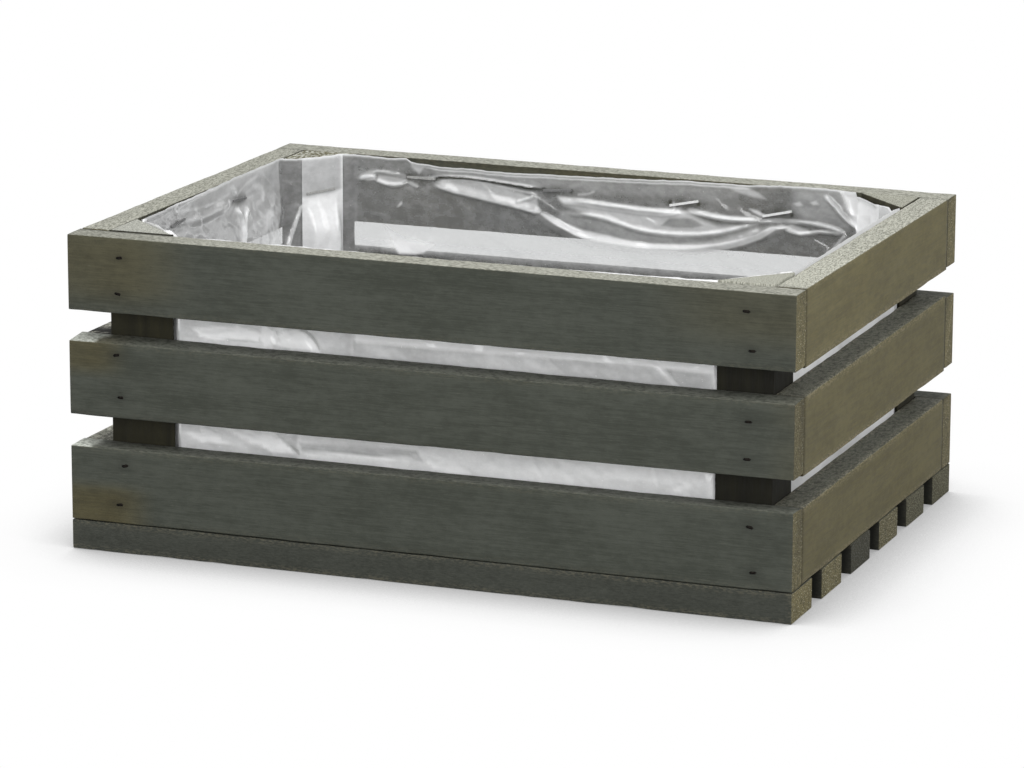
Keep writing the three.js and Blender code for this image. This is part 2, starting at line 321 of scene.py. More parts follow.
def paint(mesh, along, seed, tone, edge, brown, sawn, dirt=0.0, chips=0.0, scale=1.0):
    """Writes what the wood material reads: grain, worn edges, brown patches, sawn faces, end grain, dirt."""
    co = np.array([v.co for v in mesh.vertices])
    for name, data in {"edge": edge, "brown": brown, "sawn": sawn, "dirt": dirt, "chips": chips}.items():
        add_values(mesh, name, "POINT", np.broadcast_to(data, len(co)))
    order = [along] + [axis for axis in range(3) if axis != along]
    offset = np.array([seed * 1.37, seed * 0.71, seed * 0.43])
    layer = mesh.attributes.new("grain", "FLOAT_VECTOR", "POINT")
    layer.data.foreach_set("vector", (co[:, order] * scale + offset).astype(np.float32).ravel())
    add_values(mesh, "end", "FACE", [float(abs(p.normal[along]) > 0.8) for p in mesh.polygons])
    layer = mesh.attributes.new("tone", "FLOAT_COLOR", "POINT")
    colours = np.ones((len(co), 4), np.float32)
    colours[:, :3] = tone
    layer.data.foreach_set("color", colours.ravel())


def rectangle(depth, height):
    x, y = depth / 2, height / 2
    return [(-x, -y), (x, -y), (x, y), (-x, y)]


def edge_wear(co, outline, length):
    corners = np.array(outline)
    gap = np.linalg.norm(co[:, None, 1:] - corners[None, :, :], axis=2).min(axis=1)
    to_end = length / 2 - np.abs(co[:, 0])
    return np.maximum(bell(gap, WEAR_WIDTH), 0.6 * bell(to_end, 0.8 * MM))


def finish_wood(piece, wood, node):
    mesh = piece.data
    mesh.materials.clear()
    mesh.materials.append(wood)
    mesh.shade_smooth()
    mesh.set_sharp_from_angle(angle=SHARP_ANGLE)
    return settle(piece, "stained_wood", node)


# How each slat departs from the drawing: top and bottom edges at its two ends, in mm upward, then the inner
# edge of its top. Ends run from left to right on the front and back, and from front to back on the sides.
SLAT_SKEW = {
    "front_slat_top": ((0.0, -1.0), (-0.4, -0.4), (0.0, 0.0)),
    "right_slat_top": ((-0.8, -1.2), (-1.3, -0.8), (0.0, 0.0)),
    "back_slat_top": ((0.0, -1.2), (0.0, 0.0), (0.0, 0.0)),
    "front_slat_middle": ((0.0, 0.0), (0.0, 0.9), (1.1, 0.4)),
    "right_slat_middle": ((0.2, 1.2), (-0.5, -0.9), (0.0, 0.0)),
    "front_slat_bottom": ((0.0, 1.0), (0.0, 0.0), (0.4, -0.6)),
}

# The direction in which a slat's inner face lies along its own Y
INWARD = {"front": 1.0, "right": 1.0, "back": -1.0, "left": -1.0}


def slat_brown(side, row, co, seed):
    """Where the grey stain is thin and the brown of the wood shows."""
    cloud = 0.5 + 0.5 * fbm(co * np.array([14.0, 40.0, 40.0]) + seed, 3)
    x, z = co[:, 0] / MM, co[:, 2] / MM
    if side == "right":
        return 0.85 + 0.15 * cloud
    if side == "front":
        if row == "top":
            left = smooth(-92, -128, x) * smooth(-15, -2, z + 6 * (cloud - 0.5))
            right = smooth(84, 130, x) * smooth(-12, 4, z)
            return np.clip((0.55 * left + 0.35 * right) * (0.5 + 0.7 * cloud), 0, 1)
        if row == "bottom":
            return np.clip(0.8 * smooth(-112, -134, x) * smooth(2, -4, z) * (0.6 + 0.8 * cloud), 0, 1)
        left = 0.7 * smooth(-122, -142, x) * smooth(0, 8, z) * (0.5 + cloud)
        return np.clip(left + 0.35 * smooth(136, 150, x) * cloud, 0, 1)
    return 0.1 + smooth(0.35, 0.75, cloud) * 0.4


# A brad's head is punched below the face of its slat: the size of the mark, in mm, and how far it may tilt
PUNCH_WIDTH = 3.0
PUNCH_HEIGHT = 1.25
PUNCH_TILT = 0.25


def brad_boxes(side, row):
    """The boxes of the brads that go through a slat."""
    return [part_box(name) for name in sorted(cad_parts) if name.startswith(f"brad_{side}_{row}_")]


def punch_brads(piece, boxes, outer_y, sign, seed):
    """Cuts the mark of each brad's head into the outer face of its slat, down to the head."""
    rng = np.random.default_rng(int(seed))
    verts, faces = [], []
    for low, high in boxes:
        head_y = low.y if sign < 0 else high.y
        middle = (low + high) / 2
        tilt = rng.uniform(-PUNCH_TILT, PUNCH_TILT)
        shape = []
        for across, up in ((-0.5, -0.15), (-0.3, -0.5), (0.35, -0.42), (0.5, 0.1), (0.3, 0.5), (-0.35, 0.35)):
            a = across * PUNCH_WIDTH * rng.uniform(0.85, 1.15) * MM
            b = up * PUNCH_HEIGHT * rng.uniform(0.85, 1.2) * MM
            shape.append((middle.x + a - tilt * b, middle.z + b + tilt * a))
        start = len(verts)
        for y in (outer_y + sign * MM, head_y - sign * 0.15 * MM):
            verts += [(x, y, z) for x, z in shape]
        count = len(shape)
        faces.append(tuple(start + k for k in range(count)))
        faces.append(tuple(start + count + k for k in reversed(range(count))))
        for k in range(count):
            after = (k + 1) % count
            faces.append((start + k, start + count + k, start + count + after, start + after))
    mesh = new_mesh("punch", verts, faces)
    work = bmesh.new()
    work.from_mesh(mesh)
    bmesh.ops.recalc_face_normals(work, faces=work.faces)
    work.to_mesh(mesh)
    work.free()
    tool = link("punch", mesh)
    cut = piece.modifiers.new("punch", "BOOLEAN")
    cut.operation = "DIFFERENCE"
    cut.solver = "EXACT"
    cut.object = tool
    ready = piece.evaluated_get(bpy.context.evaluated_depsgraph_get())
    result = bpy.data.meshes.new_from_object(ready)
    piece.modifiers.clear()
    result.name = piece.data.name
    piece.data = result
    bpy.data.objects.remove(tool)
    return result


# How the upper faces of the lower slats differ from their fronts: tone, which is painted light that lightens
# these faces against the shade of the slat above, most of all on the left; sawn grey; and brown
TOP_FACE_PAINTED_LIGHT = {"front": 1.2, "right": 1.05, "back": 1.0, "left": 1.8}
TOP_FACE_SAWN = {"front": 0.12, "right": 0.2, "back": 0.1, "left": 1.0}
TOP_FACE_BROWN = {"front": 1.0, "right": 0.2, "back": 0.5, "left": 0.5}

# How much each side's edges are worn, and how the ends of the slats differ in tone
EDGE_WEAR = {"front": 0.13, "right": 1.0, "back": 0.55, "left": 0.55}
END_TONES = {"front_slat_top": 1.28, "front_slat_middle": 0.9, "front_slat_bottom": 1.0,
             "back_slat_top": 0.88, "back_slat_middle": 0.96, "back_slat_bottom": 0.84}

# How the faces of the slats differ in tone
FACE_TONES = {"front_slat_top": 0.97, "front_slat_middle": 0.97, "front_slat_bottom": 0.96,
              "right_slat_top": 1.11, "right_slat_middle": 1.03}

# The outer faces of the back and left slats are a little lighter than their inner ones: painted light, for
# sides that face away from the lamps
OUTER_FACE_PAINTED_LIGHT = 1.3

# The lower edge of the middle front slat lies in its own shade, painted into its tone; mould darkens the
# front ends of the lower left slats' tops; and the left ends of the lower front slats' tops are bare, up to a
# place in mm, and are lightened further there as painted light against the shade of the slat above
UNDER_SHADE = {"front_slat_middle": 0.45}
MOULD = {"left_slat_middle": 0.97, "left_slat_bottom": 0.4}
BARE_AND_LIT_ENDS = {"front_slat_middle": -138.5, "front_slat_bottom": -140.5}

# The joint of the front left corner with the front slat is open: its width in mm, its tone, and where its
# dark seam ends along the top front slat, in mm
OPEN_JOINT = "front_left"
OPEN_JOINT_GAP = 1.1
OPEN_JOINT_TONE = 0.03
OPEN_SEAM_END = -110.0


def make_slat(side, row, wood, seed):
    node = f"{side}_slat_{row}"
    low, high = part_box(node)
    size = high - low
    turned = side in ("left", "right")
    length, depth = (size.y, size.x) if turned else (size.x, size.y)
    outline = rectangle(depth, size.z)
    mesh = bar_mesh(f"wood_{node}", outline, length, 0.45 * MM, seed)
    if node in SLAT_SKEW:
        skew_bar(mesh, (length, depth, size.z), INWARD[side], *SLAT_SKEW[node])
    if node == "left_slat_top":
        for v in mesh.vertices:
            v.co.x += OPEN_JOINT_GAP * MM * float(smooth(6.0 * MM, 0.5 * MM, v.co.x + length / 2))
    piece = link(f"wood_{node}", mesh)
    if turned:
        piece.rotation_euler.z = math.pi / 2
    piece.location = (low + high) / 2
    boxes = brad_boxes(side, row)
    if boxes:
        sign = -1.0 if side == "front" else 1.0
        mesh = punch_brads(piece, boxes, low.y if side == "front" else high.y, sign, seed)
    co, normal = vertex_arrays(mesh)
    facing_up = smooth(0.6, 0.9, normal[:, 2]) * (co[:, 2] > 0.4 * size.z)
    brown = slat_brown(side, row, co, seed)
    tone = np.full((len(co), 3), FACE_TONES.get(node, 1.0))
    if side == "front":
        darken(tone, 0.36 * brown)
    # Painted light on the outer faces of the back and left slats
    if side in ("back", "left"):
        lighten(tone, (OUTER_FACE_PAINTED_LIGHT - 1.0) * smooth(0.5, 0.9, -INWARD[side] * normal[:, 1]))
    if node == "right_slat_top":
        lighten(tone, 0.09 * smooth(20.0, -80.0, co[:, 0] / MM))
    if node == "front_slat_top":
        darken(tone, 0.05 * smooth(40.0, 130.0, np.abs(co[:, 0]) / MM))
        at_back = (co[:, 1] > depth / 2 - 0.6 * MM) & (co[:, 2] > size.z / 2 - 1.5 * MM)
        tone[at_back & (co[:, 0] < OPEN_SEAM_END * MM)] *= 0.12
    sawn = facing_up * (1.0 if row == "top" else TOP_FACE_SAWN[side])
    dirt = facing_up * (0.5 if row != "top" else 0.1)
    if row != "top":
        # Painted light: the upper faces of the lower slats are lightened against the shade of the slat above
        lighten(tone, (TOP_FACE_PAINTED_LIGHT[side] - 1.0) * facing_up)
        brown *= 1.0 + (TOP_FACE_BROWN[side] - 1.0) * facing_up
    if node in MOULD:
        mould = smooth(17.0 * MM, 12.0 * MM, co[:, 0] + length / 2) * smooth(-0.55, -0.2, fbm(co * 260.0, 2))
        darken(tone, MOULD[node] * mould * facing_up)
    if node in BARE_AND_LIT_ENDS:
        ragged = co[:, 0] / MM - 2.0 * co[:, 1] / depth + 2.0 * fbm(co * 300.0, 2)
        bare_and_lit = facing_up * smooth(BARE_AND_LIT_ENDS[node] + 0.9, BARE_AND_LIT_ENDS[node] - 0.9, ragged)
        sawn = np.maximum(sawn, 0.9 * bare_and_lit)
        # Painted light: the bare patch is lightened beyond its sawn grey, against the shade of the slat above
        tone *= 1.0 + bare_and_lit[:, None] * np.array((0.65, 0.72, 0.82))
        dirt *= 1.0 - 0.6 * bare_and_lit
    # Shade gathers under the top edge of the inner face, and where the side slats meet the front and back
    inner = INWARD[side] * co[:, 1] > 0.3 * depth
    darken(tone, 0.45 * inner * (1.0 - facing_up) * smooth(2.4 * MM, 0.6 * MM, size.z / 2 - co[:, 2]))
    darken(tone, UNDER_SHADE.get(node, 0.0) * smooth(0.9 * MM, 0.2 * MM, size.z / 2 + co[:, 2]))
    to_end = length / 2 - np.abs(co[:, 0])
    if turned:
        darken(tone, 0.6 * bell(to_end, 0.5 * MM))
    tone[to_end < 0.05 * MM] *= END_TONES.get(node, 1.0)
    # Painted shade in the brad pockets: the faces of each pocket are marked for a near-black colour
    hole_shade = np.zeros(len(mesh.polygons), np.float32)
    centre = np.array([p.center for p in mesh.polygons])
    steep = np.array([abs(p.normal.y) < 0.8 for p in mesh.polygons])
    for box_low, box_high in boxes:
        middle = (box_low + box_high) / 2 - piece.location
        far = np.hypot((centre[:, 0] - middle.x) / PUNCH_WIDTH, (centre[:, 2] - middle.z) / PUNCH_HEIGHT)
        hole_shade[(far < 1.2 * MM) & (steep | (np.abs(centre[:, 1]) < depth / 2 - 0.1 * MM))] = 1.0
        smudge = np.hypot(co[:, 0] - middle.x, 1.6 * (co[:, 2] - middle.z)) / (4.0 * MM)
        darken(tone, 0.3 * bell(smudge, 1.0))
    edge = EDGE_WEAR[side] * edge_wear(co, outline, length)
    paint(mesh, 0, seed, tone, edge, brown, sawn, dirt, 0.6)
    add_values(mesh, "hole_shade", "FACE", hole_shade)
    return finish_wood(piece, wood, node)


# How light the ends of the boards are, from front to back, and how chipped
BOARD_TONES = ((1.9, 1.87, 1.75), (1.0, 1.0, 0.95), (0.22, 0.24, 0.26), (0.7, 0.7, 0.66), (0.34, 0.35, 0.32),
               (0.36, 0.37, 0.33))
BOARD_CHIPS = (0.7, 0.8, 1.0, 1.0, 1.3, 1.2)


def make_board(index, wood, seed):
    node = f"bottom_board_{index}"
    low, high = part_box(node)
    size = high - low
    outline = rectangle(size.y, size.z)
    mesh = bar_mesh(f"wood_{node}", outline, size.x, 0.5 * MM, seed, 1.3)
    co, normal = vertex_arrays(mesh)
    at_end = smooth(size.x / 2 - 0.3 * MM, size.x / 2, np.abs(co[:, 0]))[:, None]
    tone = 1.0 + (np.array(BOARD_TONES[index - 1]) - 1.0) * at_end
    # Painted shade: the sides of the boards that face a neighbouring board are darkened, as they lie in shade
    # in the gaps
    toward_next = normal[:, 1] * (index < BOARDS)
    toward_last = -normal[:, 1] * (index > 1)
    gap_shade = np.clip(np.maximum(toward_next, toward_last), 0.0, 1.0)
    tone = tone * (1.0 - 0.8 * gap_shade * (1.0 - at_end[:, 0]))[:, None]
    if index == 1:
        tone *= 0.62
    paint(mesh, 0, seed, tone, 0.5 * edge_wear(co, outline, size.x), 0.2 * (index > 1), 0.05, 0.1,
          BOARD_CHIPS[index - 1])
    piece = link(f"wood_{node}", mesh)
    piece.location = (low + high) / 2
    return finish_wood(piece, wood, node)


# How dark each post's sides are, partly their stain and partly painted shade, as the posts stand behind the
# slats; how far the light colour of a top reaches down them, on the front right post as painted light over
# the shade of its joint; and how much lower than its node each top is cut, in mm
POST_SIDES = {"front_left": (0.2, 0.205, 0.185), "front_right": (0.085, 0.088, 0.08),
              "back_left": (0.4, 0.39, 0.35), "back_right": (0.2, 0.2, 0.18)}
POST_EDGE = {"front_right": 4.0}
POST_DROP = {"front_left": 0.0, "front_right": 0.3, "back_left": 0.2, "back_right": 1.0}

# How light each post's sawn top is beside the slats' tops
POST_TOPS = {"back_left": (1.2, 1.28, 1.5), "back_right": (0.95, 0.95, 0.93),
             "front_left": (1.12, 1.13, 1.18), "front_right": (1.05, 1.05, 1.05)}


def make_post(corner, wood, seed):
    node = f"corner_post_{corner}"
    low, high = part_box(node)
    square, tip_x, tip_y = post_corners(corner)
    outline = [square, tip_x, tip_y]
    if (tip_x - square).x * (tip_y - square).y < 0:
        outline = [square, tip_y, tip_x]
    high.z -= POST_DROP[corner] * MM
    mesh = bar_mesh(f"wood_{node}", [(p.x, p.y) for p in outline], high.z - low.z, 0.45 * MM, seed,
                    cap=0.3 * MM)
    # The bar's local X goes up, and its section lies in the world's X and Y
    mesh.transform(Matrix(((0, 1, 0, 0), (0, 0, 1, 0), (1, 0, 0, (low.z + high.z) / 2), (0, 0, 0, 1))))
    mesh.update()
    if corner == OPEN_JOINT:
        for v in mesh.vertices:
            if abs(v.co.y - square.y) < 1.6 * MM:
                v.co.y += OPEN_JOINT_GAP * MM * float(smooth(high.z - 12.0 * MM, high.z - 2.0 * MM, v.co.z))
    co = np.array([v.co for v in mesh.vertices])
    # Painted shade darkens the posts' sides, and on the front right post the top's light colour runs down as
    # painted light
    edge = POST_EDGE.get(corner, 0.3) * MM
    at_top = smooth(high.z - edge, high.z - edge + 0.3 * MM, co[:, 2])[:, None]
    dark = np.array(POST_SIDES[corner])
    tone = dark + (np.array(POST_TOPS[corner]) - dark) * at_top
    tone *= 1.0 + 0.6 * fbm(co * np.array((700.0, 700.0, 20.0)), 2)[:, None] * (1.0 - at_top)
    if corner == OPEN_JOINT:
        # The outermost ring of the sawn top lies in the joint with the front slat
        ring = len(mesh.polygons[-1].vertices)
        rim = slice(len(co) - 2 * ring, len(co) - ring)
        in_joint = (np.abs(co[rim, 1] - square[1]) < (OPEN_JOINT_GAP + 0.8) * MM)[:, None]
        tone[rim] = np.where(in_joint, OPEN_JOINT_TONE, tone[rim])
    rough = corner == "back_left"
    paint(mesh, 2, seed, tone, 0.0, 0.8, at_top[:, 0] * (not rough), 0.0, 1.3, 0.5 if rough else 1.0)
    if not rough:
        mesh.attributes["end"].data.foreach_set("value", np.zeros(len(mesh.polygons), np.float32))
    piece = link(f"wood_{node}", mesh)
    return finish_wood(piece, wood, node)


# Film liner

def film_material():
    n = Nodes("clear_film")
    film = n.add("ShaderNodeBsdfPrincipled", Base_Color=(0.95, 0.955, 0.96, 1.0))
    film.inputs["Roughness"].default_value = 0.5
    film.inputs["Specular IOR Level"].default_value = 0.0
    glow = n.add("ShaderNodeBsdfTranslucent", Color=(0.9, 0.905, 0.91, 1.0))
    clear = n.add("ShaderNodeBsdfTransparent", Color=(0.68, 0.69, 0.69, 1.0))
    gloss = n.add("ShaderNodeBsdfGlossy", Color=(1.0, 1.0, 1.0, 1.0), Roughness=0.08)
    fresnel = n.add("ShaderNodeFresnel", IOR=1.5)
    mirror = n.math("MULTIPLY", fresnel.outputs[0], 2.0, True)
    body = n.mix_shader(n.attribute("through"), film.outputs[0], glow.outputs[0])
    place = n.add("ShaderNodeTexCoord").outputs["Object"]
    cloud = n.noise(n.scaled(place, (220.0, 220.0, 320.0)), 5.0, 0.65)
    dust = n.noise(n.scaled(place, (1300.0, 1300.0, 1300.0)), 1.0)
    # The haze attribute carries the film's milkiness and also painted highlights along its folds, patches and
    # creases
    haze_and_highlight = n.math("ADD", n.attribute("haze_and_highlight"), n.ramp(cloud, 0.3, 0.7, -0.05, 0.05))
    haze_and_highlight = n.math("ADD", haze_and_highlight, n.ramp(dust, 0.74, 0.8, 0.0, 0.3), True)
    sheet = n.mix_shader(haze_and_highlight, clear.outputs[0], body)
    mirror = n.math("MULTIPLY", mirror, n.attribute("gloss"))
    return n.finish(n.mix_shader(mirror, sheet, gloss.outputs[0]))


WALLS = ("right", "back_right", "back", "back_left", "left", "front_left", "front", "front_right")

# Height of the film's rim, as (place along the wall, height) in mm. Most points here, and of the folds,
# patches and creases below, were picked on the photograph and put onto the walls by a separate program.
RIM = {
    "back": ((-118, 127), (-116.5, 127.5), (-107, 127.5), (-98, 127), (-89.5, 127.5), (-87, 126),
             (-83, 125.5), (-74, 125), (-44, 124.5), (-19, 125), (7, 125.5), (34, 126.5), (60, 126.5),
             (70, 127), (82, 127.5), (97, 127.5), (118, 127)),
    "left": ((-72, 127), (-50, 127), (-39, 127.5), (-22, 127.5), (2, 128), (25, 128.5), (72, 128.5)),
    "back_left": ((-20, 128.5), (-9, 127.5), (0, 127.5), (10, 128), (20, 127.5)),
    "back_right": ((-20, 123), (-11, 123.5), (-8, 125), (0, 124.5), (20, 125.5)),
    "front": ((-118, 126), (-108, 127), (-90, 127), (-60, 127), (0, 126.5), (60, 126.5), (118, 127)),
    "right": ((-80, 127), (0, 127.5), (60, 127.5), (80, 126)),
    "front_left": ((-20, 127.5), (0, 128.5), (8, 128), (14, 127), (20, 126)),
    "front_right": ((-20, 127.5), (0, 127.5), (20, 127)),
}

# How far the film's rim leans away from each wall, in mm
RIM_LEAN = {"back": 1.1, "back_left": 1.1, "back_right": 1.1, "left": 0.3, "right": 0.0, "front": 1.1,
            "front_left": 2.5, "front_right": 0.6}

# How white the rim's edge is where it isn't as on most walls, and how wide that line is, in mm
RIM_LINE = {"front": (0.7, 0.6), "front_left": (0.9, 1.6), "front_right": (0.9, 1.0), "right": (0.9, 1.0)}

# Folds: wall, line of (along, up) in mm, width above, width below, height, whiteness. The whiteness is partly
# the film's own milkiness in a crease and partly a painted highlight along the fold
FOLDS = (
    ("back", ((-112, 117), (-108.5, 119.5), (-103, 120.5), (-95, 120), (-89, 119)), 1.4, 1.2, 1.1, 0.15),
    ("back", ((-104.5, 117), (-98.5, 115), (-93, 115), (-88.5, 117.5)), 1.8, 1.0, 1.4, 0.15),
    ("back", ((-111.5, 116.5), (-108, 118), (-104, 118.5)), 2.0, 1.0, 1.5, 0.2),
    ("back", ((-89, 117), (-84.5, 115)), 1.2, 1.0, 1.0, 0.25),
    ("back", ((-76, 120), (-60, 120.5), (-47.5, 119.5), (-28.5, 118)), 1.0, 0.8, 0.9, 0.1),
    ("back", ((-77.5, 117), (-73, 115.5), (-66, 114), (-56, 112.5), (-46.5, 111), (-39, 110),
              (-28.5, 107.5)), 3.4, 1.4, 1.9, 0.12),
    ("back", ((-33, 109), (-28.5, 108), (-22, 104), (-13, 100), (-6, 98), (7, 97), (22.5, 96.5), (39, 97.5),
              (51.5, 100), (61.5, 103), (69.5, 107), (77, 109.5), (82, 109)), 2.4, 4.0, 1.35, 0.1),
    ("back", ((-104, 86), (-70, 86)), 9.0, 2.0, 2.0, 0.0),
    ("back", ((-39, 112), (-34, 113.5), (-31, 115)), 1.2, 1.0, 1.0, 0.2),
    ("back", ((-22, 116), (-17.5, 114.5), (-11.5, 114.5), (1.5, 113.5), (17, 112.5), (29.5, 112.5),
              (36.5, 115.5)), 1.5, 2.6, 1.5, 0.25),
    ("back", ((36.5, 114.5), (43, 113), (53.5, 111.5), (62, 111.5), (69.5, 112)), 1.5, 1.5, 1.5, 0.35),
    ("back", ((-16.5, 108.5), (-1, 108.5), (8, 106), (18, 103.5), (33.5, 103), (48.5, 104.5), (59.5, 107.5),
              (68, 111)), 1.5, 1.5, 1.2, 0.1),
    ("back", ((68, 111), (76.5, 112.5), (85, 112.5), (94, 112), (102, 110.5),
              (107, 108.5)), 1.2, 1.2, 1.2, 0.25),
    ("back", ((80, 109), (85.5, 107), (91.5, 108), (97, 109), (105, 108.5)), 1.3, 1.0, 1.1, 0.25),
    ("back", ((97, 124.5), (101, 121), (104.5, 117), (109, 113.5), (113, 111.5)), 1.4, 1.4, 1.5, 0.25),
    ("back", ((104.5, 127), (106.5, 123.5), (108.5, 118.5), (110.5, 116)), 1.1, 1.1, 1.1, 0.2),
    ("back", ((107, 108.5), (103.5, 103.5), (99.5, 99)), 1.5, 1.5, 1.4, 0.25),
    ("left", ((22, 116), (29.5, 110), (25.5, 92)), 2.0, 2.0, 1.1, 0.1),
    ("left", ((35, 113.5), (30.5, 110), (27, 94)), 2.0, 2.0, 1.1, 0.1),
    ("left", ((-38, 121), (-23, 118), (-7.5, 117), (7, 118), (20, 118.5)), 3.0, 3.0, 0.8, 0.0),
    ("left", ((-41, 117), (-48, 110), (-52, 96)), 2.5, 2.5, 0.8, 0.0),
    ("back_left", ((-8, 108), (-12.5, 97.5), (-16.5, 86)), 1.2, 1.2, 1.4, 0.6),
    ("front", ((-100.5, 91), (-98, 88), (-88.5, 90), (-80, 91.5)), 2.2, 2.2, 0.7, 0.2),
    ("front", ((-85, 93.5), (-77.5, 91.5), (-72.5, 90.5)), 2.0, 2.0, 0.6, 0.2),
    ("front", ((-68, 93), (-66.5, 87)), 1.8, 1.8, 0.5, 0.15),
    ("front", ((-62.5, 89.5), (-57, 93.5), (-52, 90.5), (-48.5, 84)), 2.4, 3.4, 0.8, 0.2),
    ("front", ((-34.5, 97), (-34.5, 82)), 1.2, 1.2, 0.4, 0.1),
    ("front", ((-34, 97.5), (25, 97.5), (113, 97.5)), 3.0, 6.5, 1.6, 0.0),
    ("front", ((85, 97), (91, 92.5), (95.5, 88), (100, 83.5)), 1.6, 1.6, 0.5, 0.15),
    ("front", ((-100.5, 50), (-94.5, 48), (-91, 46.5)), 1.8, 1.4, 0.5, 0.2),
    ("front", ((-88.5, 52), (-82.5, 48.5), (-73, 47), (-67.5, 45)), 2.0, 1.6, 0.6, 0.2),
    ("front", ((-78, 53), (-69.5, 50.5), (-63, 46.5), (-57, 43)), 2.2, 1.8, 0.7, 0.2),
    ("front", ((-56.5, 44.5), (-44, 45), (-27, 45.5), (-12, 46.5), (-6, 48.5)), 1.1, 1.1, 0.4, 0.2),
    ("front", ((-4, 46), (4.5, 43.5), (15, 43)), 1.8, 1.4, 0.5, 0.2),
    ("front", ((41, 48.5), (44, 44)), 1.0, 1.0, 0.3, 0.1),
    ("front", ((89, 53), (91.5, 45)), 1.0, 1.0, 0.3, 0.1),
    ("front", ((98, 44), (105.5, 47)), 1.6, 1.4, 0.5, 0.15),
)

